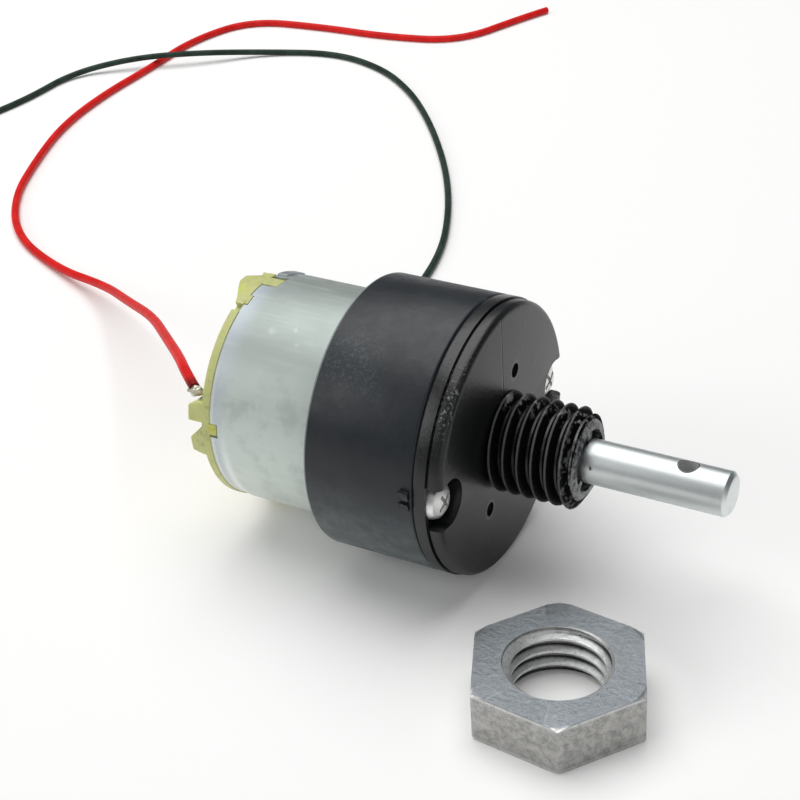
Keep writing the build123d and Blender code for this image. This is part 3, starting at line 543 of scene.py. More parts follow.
lid_finish = Finish("lid_black", **{"Specular IOR Level": 0.5})
lid_x = lid_finish.along(0)
lid_y = lid_finish.along(1)
lid_z = lid_finish.along(2)
lid_radius = (lid_y * lid_y + lid_z * lid_z) ** 0.5
lid_clouds = lid_finish.grain(5.0, detail=4, roughness=0.6)
lid_face = lid_finish.ramp(lid_x, -12.45, -12.32)
lid_side = lid_finish.ramp(lid_radius, 18.2, 18.6) * lid_finish.ramp(lid_x, -14.6, -14.2)
lid_sparks = lid_finish.ramp(lid_finish.grain(0.42, detail=2, roughness=0.7), 0.54, 0.66)
rough_patch = lid_finish.band(lid_z, 13.0, 5.0) * lid_finish.ramp(-1 * lid_y, 2.0, 7.0) * lid_side
mould_line = lid_finish.band(lid_y, -0.1, 0.16) * lid_finish.ramp(lid_z, 6.0, 8.0) * lid_face
pin_halos = 0
for angle in pin_angles:
    pin_spot = Vector((face, *polar(pin_circle, angle)))
    away = lid_finish.node("VectorMath", {"operation": "DISTANCE"}, {0: lid_finish.place, 1: pin_spot}, output=1)
    pin_halos = lid_finish.band(away * 1000, 1.2, 0.45) + pin_halos
end_wear = lid_finish.ramp(lid_x, -1.4, -0.3) * lid_finish.ramp(lid_finish.grain(0.8, detail=4), 0.42, 0.58)
lid_pale = 0.04 * lid_clouds + 0.8 * rough_patch * lid_sparks + 0.22 * pin_halos * lid_face + 0.9 * end_wear
lid_skin = lid_finish.bump(lid_finish.grain(0.2, detail=2), 0.010)
lid_skin = lid_finish.bump(lid_sparks * (0.2 + rough_patch), 0.05, lid_skin)
lid_skin = lid_finish.bump(1 - mould_line, 0.12, lid_skin)
lid_black = lid_finish.wear(
    Base_Color=lid_finish.mix(lid_pale, (0.0040, 0.0046, 0.0055), (0.25, 0.255, 0.26)),
    Roughness=0.33 - 0.06 * lid_clouds + 0.10 * end_wear,
    Normal=lid_skin,
)

lid_outline = [
    (lid_plate, bush_r),
    (lid_plate, spigot_r),
    (seam - 1.1 * mm, spigot_r),
    (seam - 1.1 * mm, cup_bore_r - fit_gap),
    (seam, cup_bore_r - fit_gap),
    (seam, gearbox_r),
    (lid_flange, gearbox_r),
    (lid_flange, lid_side_r - step_groove),
    (lid_flange + step_groove, lid_side_r - step_groove),
    (lid_flange + step_groove, lid_side_r),
    (face, lid_side_r),
    (face, boss_root_r),
    (boss_end - boss_taper, boss_root_r),
    (boss_end, boss_end_r),
    (boss_end, shaft_mouth_r),
    (bush_end, shaft_mouth_r),
    (bush_end, bush_r),
]
lid_form = turned(lid_outline, rounding=(0.35 * mm, face_round), corners=(5, 10))
lid_front = made("lid_front", lid_form, lid_black)
lid_pads = []
lid_cutters = []
for side in (-1, 1):
    screw_y = side * screw_circle
    pad = made("pad", rod(seam, lid_plate + 0.2 * mm, pad_r, screw_y), lid_black)
    pad_limit = rod(seam - mm, face, lid_side_r - 0.2 * mm, segments=turned_steps)
    lid_pads.append(cut(pad, [made("limit", pad_limit, lid_black)], "INTERSECT"))
    seat_cutter = made("seat", rod(screw_seat, lid_flange + 0.1 * mm, recess_r, screw_y), lid_black)
    seat_limit = rod(seam, face, gearbox_r - 0.7 * mm, segments=turned_steps)
    lid_cutters.append(cut(seat_cutter, [made("limit", seat_limit, lid_black)], "INTERSECT"))
    lid_cutters.append(made("recess", rod(lid_flange, face + mm, recess_r, screw_y), lid_black))
    mouth_ends = sorted((side * (screw_circle + mm), side * (gearbox_r + mm)))
    mouth = block((lid_flange, mouth_ends[0], -mouth_half), (face + mm, mouth_ends[1], mouth_half))
    lid_cutters.append(made("mouth", mouth, lid_black))
for angle in pin_angles:
    pin_hole = rod(lid_plate - mm, face + mm, pin_r, *polar(pin_circle, angle))
    lid_cutters.append(made("pin_hole", pin_hole, lid_black))
for start, end in pockets:
    pocket = wedge(shaft_mouth_r - 0.3 * mm, pocket_r, start, end, boss_end - pocket_depth, boss_end + mm)
    lid_cutters.append(made("pocket", pocket, lid_black))
cut(lid_front, lid_pads, "UNION")
cut(lid_front, lid_cutters)
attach(lid_front, "gearbox")
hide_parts("gearbox_lid")

# Threaded boss
# M14 x 2 moulded with the lid. Its crests are thin and pale, torn where the two mould halves met, and the
# last turn runs out ragged at the boss's tapered end.
thread_pitch = 2.0 * mm
thread_height = 1.1 * mm
crest_half = 0.13 * mm
foot_half = 0.95 * mm
foot_depth = 0.15 * mm
first_crest = face + 0.6 * mm
crest_angle = 140.0
parting_angle = 88.0
steps_per_turn = 96


def ridge(points, rounding, centre, axis, lead, turns):
    """A thread's ridge: its outline swept along a helix, with its two crest corners rounded."""
    form = bmesh.new()
    outline = [form.verts.new(point) for point in points]
    form.faces.new(outline)
    bmesh.ops.bevel(
        form, geom=outline[1:3], offset=rounding, segments=2, profile=0.5, affect="VERTICES", material=-1
    )
    bmesh.ops.spin(
        form,
        geom=form.verts[:] + form.edges[:] + form.faces[:],
        cent=centre,
        axis=axis,
        dvec=Vector(axis) * (lead / steps_per_turn),
        angle=math.tau * turns,
        steps=round(steps_per_turn * turns),
    )
    bmesh.ops.recalc_face_normals(form, faces=form.faces)
    return form


boss_finish = Finish("boss_black", **{"Specular IOR Level": 0.05})
boss_x = boss_finish.along(0)
boss_y = boss_finish.along(1)
boss_z = boss_finish.along(2)
boss_radius = (boss_y * boss_y + boss_z * boss_z) ** 0.5
# The pale crests are partly wear and partly a painted highlight.
crest_wear_and_glint = boss_finish.ramp(boss_radius, 6.68, 6.82)
chips = boss_finish.ramp(boss_finish.grain(0.6, detail=4, stretch=(1, 0.5, 0.5)), 0.5, 0.62)
near_line = boss_finish.band(boss_y, 0.2, 2.8) * boss_finish.ramp(boss_z, 3.0, 5.5)
near_end = 0.6 * boss_finish.ramp(boss_x, -2.4, -0.4)
boss_pale = 0.30 * crest_wear_and_glint + 0.6 * chips * (near_line + near_end) * boss_finish.ramp(boss_radius, 5.2, 6.4)
boss_black = boss_finish.wear(
    Base_Color=boss_finish.mix(boss_pale, (0.0012, 0.0013, 0.0016), (0.42, 0.42, 0.42)),
    Roughness=0.85 - 0.45 * boss_finish.ramp(boss_radius, 6.1, 6.7),
    Normal=boss_finish.bump(chips, 0.05, boss_finish.bump(boss_finish.grain(0.5, detail=4), 0.06)),
)
thread_start = first_crest - thread_pitch * (1 + (crest_angle - 90) / 360)
thread_points = [
    (thread_start - foot_half, 0, boss_root_r - foot_depth),
    (thread_start - crest_half, 0, boss_root_r + thread_height),
    (thread_start + crest_half, 0, boss_root_r + thread_height),
    (thread_start + foot_half, 0, boss_root_r - foot_depth),
]
thread_form = ridge(thread_points, 0.1 * mm, (0, 0, 0), (1, 0, 0), thread_pitch, 7.75)
for point in thread_form.verts:
    height = (math.hypot(point.co.y, point.co.z) - boss_root_r) / thread_height
    if height > 0.5:
        angle = math.degrees(math.atan2(point.co.z, point.co.y))
        flash = max(0.0, 1 - abs(angle - parting_angle) / 14)
        ragged = max(0.0, 1 - (boss_end - point.co.x) / (3 * mm))
        push = noise.noise(point.co / (0.45 * mm)) * (0.02 + 0.32 * flash + 0.16 * ragged) * mm
        point.co += Vector((0.4 * push, *polar(push, angle)))
boss_thread = made("boss_thread", thread_form, boss_black)
thread_limit = [
    (lid_plate, bush_r + 0.5 * mm),
    (lid_plate, 8.5 * mm),
    (face, 8.5 * mm),
    (boss_end - 1.3 * mm, 7.1 * mm),
    (boss_end, 5.0 * mm),
    (boss_end, bush_r + 0.5 * mm),
]
cut(boss_thread, [made("limit", turned(thread_limit), boss_black)], "INTERSECT")
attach(boss_thread, "gearbox")

# Lid screws
# Two small pan-head screws in bright zinc plate, with a cross recess, down in the open recesses. They hold
# the lid on the cup's posts.
screw_r = 1.3 * mm
screw_head_r = 2.6 * mm
screw_head = 2.2 * mm
screw_length = 8.0 * mm
cross_width = 0.55 * mm
cross_reach = 1.45 * mm
cross_depth = 0.85 * mm
cross_turn = 30.0

zinc_finish = Finish("bright_zinc", Metallic=1.0)
zinc_cloud = zinc_finish.grain(0.9, detail=4)
zinc_marks = zinc_finish.ramp(zinc_finish.grain(0.4, detail=3), 0.6, 0.72)
bright_zinc = zinc_finish.wear(
    Base_Color=zinc_finish.mix(0.7 * zinc_marks + 0.3 * zinc_cloud, (0.95, 0.955, 0.94), (0.66, 0.665, 0.65)),
    Roughness=0.38 + 0.16 * zinc_cloud,
    Normal=zinc_finish.bump(zinc_cloud, 0.03),
)


def pan_screw(name, y, z):
    """A pan-head screw along the shaft's direction, with its cross recess cut in."""
    outline = [
        (screw_seat - screw_length, 0),
        (screw_seat - screw_length, screw_r - 0.3 * mm),
        (screw_seat - screw_length + 0.3 * mm, screw_r),
        (screw_seat, screw_r),
        (screw_seat, screw_head_r),
        (screw_seat + 0.35 * screw_head, screw_head_r),
        (screw_seat + 0.72 * screw_head, 0.88 * screw_head_r),
        (screw_seat + 0.93 * screw_head, 0.6 * screw_head_r),
        (screw_seat + screw_head, 0),
    ]
    screw = made(name, turned(outline, steps=48), bright_zinc)
    arms = []
    for turn in (cross_turn, cross_turn + 90):
        arm = block(
            (screw_seat + screw_head - cross_depth, -cross_reach, -cross_width / 2),
            (screw_seat + screw_head + mm, cross_reach, cross_width / 2),
            math.radians(turn),
        )
        arms.append(made("arm", arm, bright_zinc))
    cut(screw, arms)
    screw.data.transform(Matrix.Translation((0, y, z)))
    return screw


cover_screws = pan_screw("cover_screws", -screw_circle, 0)
cut(cover_screws, [pan_screw("second", screw_circle, 0)], "UNION")
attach(cover_screws, "gearbox")
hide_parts("lid_screws")

# Output shaft
# A 6 mm ground steel shaft with a bevelled tip and a cross hole on top. Behind its shoulder it steps down
# to the journal in the bush, the gear's seat with two flats, and a thin rear stub.
shaft_low, shaft_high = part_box("output_shaft")
shaft_tip = shaft_high.x
shaft_rear = shaft_low.x
shaft_r = 3.0 * mm
shaft_bevel = 0.5 * mm
journal_r = 2.7 * mm
gear_end = -15.55 * mm
gear_seat_r = 2.5 * mm
gear_seat_flat = 2.0 * mm
stub_r = 1.0 * mm
stub_end = gear_end - 2.0 * mm
cross_hole = shaft_tip - 6.0 * mm
cross_hole_r = 1.25 * mm

steel_finish = Finish("shaft_steel", Metallic=1.0)
steel_x = steel_finish.along(0)
ground = steel_finish.grain(0.35, detail=3, stretch=(1, 0.08, 0.08))
drawn = steel_finish.grain(1.2, detail=3, stretch=(0.06, 1, 1))
stain = steel_finish.ramp(steel_finish.grain(2.0, detail=4), 0.55, 0.7)
ring_mark = steel_finish.band(steel_x, 0.35, 0.35)
steel_y = steel_finish.along(1)
from_hole = ((steel_x - cross_hole * 1000) * (steel_x - cross_hole * 1000) + steel_y * steel_y) ** 0.5
hole_wall = 1 - steel_finish.ramp(from_hole, 1.26, 1.30)
hole_rim = 1.5 * steel_finish.band(from_hole, 1.34, 0.13)
# Painted shade: the shaft's colour is darker along its top.
painted_shaft_top_shade = steel_finish.ramp(steel_finish.along(2), 1.2, 2.9)
steel_plain = steel_finish.mix(0.6 * painted_shaft_top_shade, (0.86, 0.90, 0.895), (0.52, 0.56, 0.56))
dot_mark = spots(steel_finish, (((1.17, -2.85, 0.93), 0.35, 1.4),))
steel_pale = steel_finish.mix(hole_wall, steel_plain, (0.80, 0.81, 0.80))
steel_worn = steel_finish.mix(0.22 * drawn + 0.10 * stain + 0.30 * ring_mark, steel_pale, (0.44, 0.47, 0.47))
shaft_steel = steel_finish.wear(
    Base_Color=steel_finish.mix(hole_rim + dot_mark, steel_worn, (0.05, 0.055, 0.055)),
    Metallic=1 - hole_wall,
    Roughness=0.40 + 0.05 * ground + 0.03 * stain + 0.25 * hole_wall,
    Normal=steel_finish.bump(ground, 0.004),
)
shaft_outline = [
    (shaft_rear, 0),
    (shaft_rear, stub_r),
    (stub_end, stub_r),
    (stub_end, gear_seat_r),
    (gear_end, gear_seat_r),
    (gear_end, journal_r),
    (-0.0, journal_r),
    (0.0, shaft_r),
    (shaft_tip - shaft_bevel, shaft_r),
    (shaft_tip, shaft_r - shaft_bevel),
    (shaft_tip, 0),
]
steel_shaft = made("steel_shaft", turned(shaft_outline, rounding=0.08 * mm, corners=(8, 9)), shaft_steel)
shaft_cutters = []
hole_form = bmesh.new()
bmesh.ops.create_cone(
    hole_form, cap_ends=True, segments=48, radius1=cross_hole_r, radius2=cross_hole_r, depth=4 * shaft_r,
    matrix=Matrix.Translation((cross_hole, 0, 0)),
)
shaft_cutters.append(made("hole", hole_form, shaft_steel))
for side in (-1, 1):
    flat_ends = sorted((side * gear_seat_flat, side * 2 * gear_seat_flat))
    flat = block((stub_end - 0.01 * mm, flat_ends[0], -shaft_r), (gear_end, flat_ends[1], shaft_r))
    shaft_cutters.append(made("flat", flat, shaft_steel))
cut(steel_shaft, shaft_cutters)
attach(steel_shaft, "output")
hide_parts("output_shaft")

# Motor can
# Drawn steel in clear zinc plate: a closed front with a wide round, a boss for the bearing, and a thinner
# rear rim with notches that key the end cap. It is scuffed along its top from handling.
can_wall = 0.8 * mm
can_rear = can_low.x
can_front = web_rear
can_front_round = 1.2 * mm
rear_band = 1.6 * mm
rear_step = 0.15 * mm
front_bush_r = 3.2 * mm
can_notches = ((78.3, 90.0, 2.5), (100.0, 107.0, 0.6), (171.0, 178.4, 1.2))
can_crimp = (57.0, 75.5)
crimp_rise = 0.18 * mm
# Dark spots on the can: stains, and at the rear rim on top a painted shade of the gap between can and cap.
can_stains_and_gap_shade = (
    ((-46.6, 4.9, 15.2), 0.9, 0.8),
    ((-41.3, 5.7, 15.0), 1.2, 0.35),
    ((-38.5, 6.3, 14.7), 0.8, 0.3),
    ((-48.3, 5.2, 15.4), 1.7, 0.7),
    ((-48.3, 7.6, 14.4), 0.8, 0.7),
)
can_dents = (
    ((-42.5, -7.7, 14.0), 0.9, 0.55),
    ((-39.3, -6.9, 14.5), 0.6, 0.5),
    ((-38.1, -8.7, 13.4), 0.6, 0.5),
    ((-39.6, -15.8, -2.5), 0.9, 0.3),
)

can_finish = Finish("can_zinc", Metallic=0.55)
can_x = can_finish.along(0)
can_z = can_finish.along(2)
can_bands = can_finish.grain(5.0, detail=3, stretch=(0.05, 1, 1))
can_streaks = can_finish.ramp(can_finish.grain(0.8, detail=4, stretch=(0.08, 1, 1)), 0.45, 0.75)
can_cloud = can_finish.grain(3.5, detail=4, roughness=0.6)

can_scuffs = spots(can_finish, can_dents)
can_marks_and_gap_shade = spots(can_finish, can_stains_and_gap_shade)
lilac = can_finish.ramp(-1 * can_x, 45.2, 48.0)
# Painted highlight: a pale band at the step near the can's rear, on its lower half.
painted_step_highlight = can_finish.band(can_x, -46.7, 1.1) * can_finish.ramp(-1 * can_z, -4.0, 4.0)
can_plain = can_finish.mix(can_bands, (0.68, 0.75, 0.70), (0.56, 0.635, 0.595))
# Painted shade darkens the can's top.
painted_can_top_shade = can_finish.ramp(can_z, 4.0, 15.0)
# Painted light makes the can's lower side paler.
painted_can_low_light = can_finish.ramp(-1 * can_z, 0.0, 12.0)
can_shaded = can_finish.mix(0.62 * painted_can_top_shade, can_plain, (0.22, 0.25, 0.24))
can_patches = can_finish.ramp(can_finish.grain(4.0, detail=5, roughness=0.65), 0.46, 0.66)
can_shaded = can_finish.mix(0.45 * can_patches, can_shaded, (0.42, 0.47, 0.44))
can_tinted = can_finish.mix(0.5 * lilac, can_shaded, (0.54, 0.59, 0.68))
# Painted highlight along the can's rear edge, strongest low down and fading out towards the top.
painted_can_rim_highlight = can_finish.ramp(-1 * can_x, 48.1, 48.5) * can_finish.ramp(-1 * can_z, -14.0, -2.0)
can_lit = can_finish.mix(
    0.6 * painted_step_highlight + 0.12 * can_streaks + 0.6 * painted_can_rim_highlight + 0.35 * can_scuffs + 0.45 * painted_can_low_light, can_tinted, (0.88, 0.91, 0.88)
)
can_zinc = can_finish.wear(
    Base_Color=can_finish.mix(can_marks_and_gap_shade, can_lit, (0.16, 0.15, 0.13)),
    Roughness=0.42 + 0.14 * can_cloud + 0.06 * can_streaks,
    Normal=can_finish.bump(can_finish.grain(0.5, detail=3, stretch=(0.1, 1, 1)), 0.006, can_finish.bump(can_cloud, 0.04)),
)
can_outline = [
    (can_rear, can_r - rear_step),
    (can_rear + rear_band - 0.6 * mm, can_r - rear_step),
    (can_rear + rear_band + 0.6 * mm, can_r),
    (can_front, can_r),
    (can_front, can_boss_r),
    (can_front + 1.4 * mm, can_boss_r),
    (can_front + 1.4 * mm, 1.5 * mm),
    (can_front + 0.6 * mm, 1.5 * mm),
    (can_front + 0.6 * mm, front_bush_r),
    (can_front - can_wall, front_bush_r),
    (can_front - can_wall, can_r - can_wall),
    (can_rear, can_r - can_wall),
]
can_form = turned(can_outline, rounding=can_front_round, corners=(3,))
drawn_can = made("drawn_can", can_form, can_zinc)
can_cutters = []
for start, end, depth in can_notches:
    for side in (0, 180):
        notch = wedge(can_r - 2 * can_wall, can_r + can_wall, start + side, end + side, can_rear - mm, can_rear + depth * mm)
        can_cutters.append(made("notch", notch, can_zinc))
for angle in (158.0, 338.0):
    screw_hole = rod(can_front - 1.5 * can_wall, can_front + can_wall, 1.3 * mm, *polar(8.0 * mm, angle))
    can_cutters.append(made("screw_hole", screw_hole, can_zinc))
can_crimps = []
for side in (0, 180):
    crimp = wedge(
        can_r - 0.5 * can_wall, can_r + crimp_rise, can_crimp[0] + side, can_crimp[1] + side, can_rear, can_rear + rear_band
    )
    can_crimps.append(ease(made("crimp", crimp, can_zinc), 0.2 * mm))
cut(drawn_can, can_crimps, "UNION")
cut(drawn_can, can_cutters)
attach(drawn_can, "gearbox")
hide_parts("motor_can")

# End cap
# Moulded natural nylon, a little translucent and yellow-green. It closes the can's rear with a plate, a
# bearing boss and standing blocks, and its fingers and pegs sit in the can's notches.
cap_low, cap_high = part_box("end_cap")
block_rear = cap_low.x
cap_rear = can_rear - 1.3 * mm
cap_spigot = can_rear + 2.7 * mm
cap_boss_r = 4.6 * mm
cap_bore_r = 3.2 * mm
cap_blocks = (
    (3.6, ((76.0, 0.2), (82.0, 0.5), (84.5, 2.1), (91.0, 2.1), (104.0, 0.3), (107.0, 0.1))),
    (3.4, ((161.3, 2.1), (171.6, 2.1))),
    (2.6, ((175.3, 0.15), (180.8, 1.95), (189.0, 1.95), (190.6, 0.3))),
)
cap_fingers = ((81.2, 89.5, 2.4), (100.3, 106.7, 0.55), (171.3, 177.0, 1.1))
rim_gaps = ((57.0, 76.0), (107.2, 111.7))
terminal_circle = 14.0 * mm
terminal_angle = 158.5

nylon_finish = Finish(
    "natural_nylon",
    **{"Subsurface Weight": 0.35, "Subsurface Scale": 0.0012, "Specular IOR Level": 0.5},
)
nylon_finish.shader.inputs["Subsurface Radius"].default_value = (1.0, 0.9, 0.45)
nylon_cloud = nylon_finish.grain(2.5, detail=3)
nylon_dirt = nylon_finish.ramp(nylon_finish.grain(1.1, detail=5, roughness=0.65), 0.52, 0.72)
# Painted glow: two bright yellow spots, as of light shining through the nylon.
painted_nylon_glow = spots(nylon_finish, (((-48.3, -15.9, 1.8), 1.3, 0.85), ((-50.9, -2.0, 15.6), 1.8, 0.5)))
nylon_plain = nylon_finish.mix(nylon_cloud, (0.66, 0.68, 0.29), (0.50, 0.525, 0.19))
nylon_bright = nylon_finish.mix(painted_nylon_glow, nylon_plain, (0.66, 0.68, 0.09))
natural_nylon = nylon_finish.wear(
    Base_Color=nylon_finish.mix(0.55 * nylon_dirt, nylon_bright, (0.28, 0.29, 0.10)),
    Roughness=0.38 + 0.16 * nylon_cloud,
    Normal=nylon_finish.bump(nylon_finish.grain(0.7, detail=3), 0.03),
)
cap_outline = [
    (block_rear, 0),
    (block_rear, cap_boss_r),
    (cap_rear, cap_boss_r),
    (cap_rear, can_r),
    (can_rear, can_r),
    (can_rear, can_r - can_wall - fit_gap),
    (cap_spigot, can_r - can_wall - fit_gap),
    (cap_spigot, can_r - can_wall - 1.2 * mm),
    (can_rear, can_r - can_wall - 1.2 * mm),
    (can_rear, cap_bore_r),
    (block_rear + can_wall, cap_bore_r),
    (block_rear + can_wall, 0),
]
nylon_cap = made("nylon_cap", turned(cap_outline, rounding=0.3 * mm, corners=(1, 3)), natural_nylon)
cap_parts = []
cap_cutters = []
for side in (0, 180):
    for width, profile in cap_blocks:
        start, end = profile[0][0], profile[-1][0]
        form = wedge(
            can_r - width * mm, can_r - 0.02 * mm, start + side, end + side, cap_rear - mm, cap_rear + 0.5 * mm
        )
        for point in form.verts:
            if point.co.x < cap_rear:
                angle = math.degrees(math.atan2(point.co.z, point.co.y)) % 360 - side
                angle = angle if angle >= 0 else angle + 360
                for (before, low), (after, high) in zip(profile, profile[1:]):
                    if angle >= before:
                        share = min(1.0, (angle - before) / (after - before))
                        point.co.x = cap_rear - (low + (high - low) * share) * mm
        cap_parts.append(made("block", form, natural_nylon))
    for start, end, depth in cap_fingers:
        form = wedge(can_r - 1.1 * mm, can_r - 0.02 * mm, start + side, end + side, cap_rear + 0.4 * mm, can_rear + depth * mm)
        cap_parts.append(made("finger", form, natural_nylon))
    for start, end in rim_gaps:
        gap = wedge(
            can_r - can_wall, can_r + can_wall, start + side, end + side, cap_rear - mm, can_rear + 0.1 * mm
        )
        cap_cutters.append(made("gap", gap, natural_nylon))
    slot_form = block(
        (block_rear - mm, terminal_circle - 1.05 * mm, -0.45 * mm),
        (cap_spigot + mm, terminal_circle + 1.05 * mm, 0.0),
        math.radians(terminal_angle + side),
    )
    cap_cutters.append(made("slot", slot_form, natural_nylon))
for part in cap_parts:
    ease(part, 0.14 * mm, segments=2)
cut(nylon_cap, cap_parts, "UNION")
cut(nylon_cap, cap_cutters)
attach(nylon_cap, "gearbox")
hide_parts("end_cap")

# Terminals
# Two tinned brass tags on opposite sides of the end cap. They carry the brush arms inside the motor.
tag_finish = Finish("tinned_brass", Metallic=1.0)
tag_tin = tag_finish.ramp(tag_finish.grain(0.8, detail=4), 0.4, 0.62)
tinned_brass = tag_finish.wear(
    Base_Color=tag_finish.mix(tag_tin, (0.72, 0.56, 0.26), (0.70, 0.68, 0.58)),
    Roughness=0.28 + 0.2 * tag_tin,
    Normal=tag_finish.bump(tag_tin, 0.02),
)


def refinish(material, *names):
    """Gives carried-over CAD nodes their finish."""
    for name in names:
        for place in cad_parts[name].material_slots:
            place.material = material


refinish(tinned_brass, "terminals")

# Solder joints
# A lumpy bead of solder on each tag, with the tinned strands of its wire running into it and brown
# specks of burnt flux.
bead_r = 0.93 * mm
bead_rise = 0.875 * mm
bead_angle = 161.5
strand_count = 7
strand_r = 0.17 * mm
strand_ring = 0.34 * mm

solder_finish = Finish("solder", Metallic=0.85)
solder_cloud = solder_finish.grain(0.7, detail=4)
flux = solder_finish.ramp(solder_finish.grain(0.55, detail=3), 0.58, 0.68)
dull_solder = solder_finish.wear(
    Base_Color=solder_finish.mix(flux, solder_finish.mix(solder_cloud, (0.78, 0.76, 0.68), (0.55, 0.54, 0.48)), (0.07, 0.05, 0.03)),
    Roughness=0.26 + 0.3 * solder_cloud,
    Normal=solder_finish.bump(solder_cloud, 0.08),
)


def strands(name, start, end, finish):
    """A straight bundle of fine wires between two points: one in the middle and six round it."""
    start, end = Vector(start), Vector(end)
    run = end - start
    turn = run.to_track_quat("Z", "Y").to_matrix().to_4x4()
    form = bmesh.new()
    for index in range(strand_count):
        across = Vector((strand_ring, 0, 0)) if index else Vector((0, 0, 0))
        across.rotate(Matrix.Rotation(math.tau * index / (strand_count - 1), 3, "Z"))
        place = Matrix.Translation((start + end) / 2) @ turn @ Matrix.Translation(across)
        bmesh.ops.create_cone(
            form, cap_ends=True, segments=10, radius1=strand_r, radius2=strand_r, depth=run.length, matrix=place
        )
    return made(name, form, finish)


solder_beads = bmesh.new()
for side in (0, 180):
    bead_form = bmesh.new()
    bmesh.ops.create_icosphere(bead_form, subdivisions=5, radius=bead_r)
    roughened(bead_form, 0.22 * mm, 0.8 * mm, seed=side / 50)
    bmesh.ops.scale(bead_form, vec=(0.95, 0.9, 0.9), verts=bead_form.verts)
    bead_y, bead_z = terminal_circle, -bead_rise
    bmesh.ops.translate(bead_form, vec=(block_rear, bead_y, bead_z), verts=bead_form.verts)
    spin = Matrix.Rotation(math.radians(bead_angle + side), 3, "X")
    bmesh.ops.rotate(bead_form, cent=(0, 0, 0), matrix=spin, verts=bead_form.verts)
    bead_mesh = bpy.data.meshes.new("bead")
    bead_form.to_mesh(bead_mesh)
    bead_form.free()
    solder_beads.from_mesh(bead_mesh)
solder_lumps = made("solder_lumps", solder_beads, dull_solder, 60)
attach(solder_lumps, "gearbox")
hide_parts("solder_joints")
for side, name, route in ((1, "red_strands", red_route), (-1, "dark_strands", dark_route)):
    bead_centre = Vector((block_rear, *(side * value for value in (-13.0 * mm, 5.26 * mm))))
    wire_point = Vector(route[0]) * mm
    bundle = strands(name, bead_centre, wire_point + 0.3 * (wire_point - bead_centre), dull_solder)
    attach(bundle, "gearbox")

# Mounting nut
# A loose die-cast M14 x 2 nut, 21 mm across flats, lying in front. Its top is satin and finely scratched,
# its sides are mottled and painted lighter than the top, and its edges are partly rubbed bright and partly
# painted with highlights. The thread in its bore carries painted light and shade.
nut_low, nut_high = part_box("mounting_nut")
nut_x, nut_y = 6.8 * mm, -25.5 * mm
nut_base = nut_low.z
nut_top = nut_high.z
nut_half = 10.5 * mm
nut_corner_r = nut_half / math.cos(math.pi / 6)
nut_turn = math.radians(-66.3)
nut_bore_r = 5.95 * mm
nut_thread_r = 7.05 * mm
nut_mouth_r = 6.9 * mm
nut_face_r = 11.3 * mm
nut_bevel = 0.5 * mm

nut_finish = Finish("cast_zinc", Metallic=0.75)
nut_centring = nut_finish.node("Mapping", values={"Vector": nut_finish.place, "Location": (-nut_x, -nut_y, 0)})
nut_split = [nut_finish.node("SeparateXYZ", values={0: nut_centring}, output=axis) * 1000 for axis in (0, 1, 2)]
nut_radius = (nut_split[0] * nut_split[0] + nut_split[1] * nut_split[1]) ** 0.5
to_flat = 0
for index in range(3):
    facing = nut_turn + math.radians(30 + 60 * index)
    across = nut_split[0] * math.cos(facing) + nut_split[1] * math.sin(facing)
    across = nut_finish.node("Math", {"operation": "ABSOLUTE"}, {0: across})
    to_flat = nut_finish.node("Math", {"operation": "MAXIMUM"}, {0: across, 1: to_flat})
top_mask = nut_finish.ramp(nut_split[2], -12.25, -12.05)
# Pale edges: partly rubbed bright, partly painted highlights, and at the bottom edge a painted reflection of the
# floor.
top_edge_glint = nut_finish.band(nut_split[2], -12.3, 0.35) * nut_finish.ramp(to_flat, 10.1, 10.35)
side_edge_glint = nut_finish.ramp(nut_radius, 11.80, 12.0)
low_edge_reflection = nut_finish.band(nut_split[2], -18.75, 0.4) * nut_finish.ramp(to_flat, 10.1, 10.35)
# Painted light: the thread in the bore is made pale.
painted_thread_light = 1 - nut_finish.ramp(nut_radius, 6.85, 6.95)
# Painted shade: the thread's grooves are dark, apart from the top 0.7 mm.
painted_valley_shade = painted_thread_light * nut_finish.ramp(nut_radius, 6.35, 6.75) * (1 - nut_finish.ramp(nut_split[2], -12.95, -12.6))
pits = nut_finish.ramp(nut_finish.grain(0.45, detail=3, roughness=0.7), 0.54, 0.68)
wear_and_glints = 0.5 * top_edge_glint + 0.04 * side_edge_glint + 0.35 * low_edge_reflection + 0.75 * painted_thread_light
fine = nut_finish.grain(0.5, detail=3, stretch=(0.12, 1, 1))
cross_fine = nut_finish.grain(0.6, detail=3, stretch=(1, 0.15, 1))
mottle = nut_finish.ramp(nut_finish.grain(1.0, detail=5, roughness=0.7), 0.35, 0.68)
top_colour = nut_finish.mix(0.5 * fine + 0.5 * cross_fine, (0.30, 0.325, 0.345), (0.22, 0.24, 0.255))
# The sides have their own mottle, and painted light makes them lighter than the top.
side_colour_with_painted_light = nut_finish.mix(mottle, (0.54, 0.535, 0.52), (0.33, 0.325, 0.315))
cast_zinc = nut_finish.wear(
    Base_Color=nut_finish.mix(
        painted_valley_shade + 0.30 * pits,
        nut_finish.mix(wear_and_glints, nut_finish.mix(top_mask, side_colour_with_painted_light, top_colour), (0.86, 0.88, 0.87)),
        (0.05, 0.05, 0.05),
    ),
    Roughness=0.46 - 0.10 * mottle + 0.06 * fine - 0.15 * wear_and_glints,
    Normal=nut_finish.bump(fine, 0.008, nut_finish.bump(mottle, 0.03)),
)


def stood(form):
    """Stands a form that was turned about the shaft's axis upright on the nut's axis."""
    place = Matrix.Translation((nut_x, nut_y, nut_base)) @ Matrix.Rotation(-math.pi / 2, 4, "Y")
    bmesh.ops.transform(form, matrix=place, verts=form.verts)
    return form


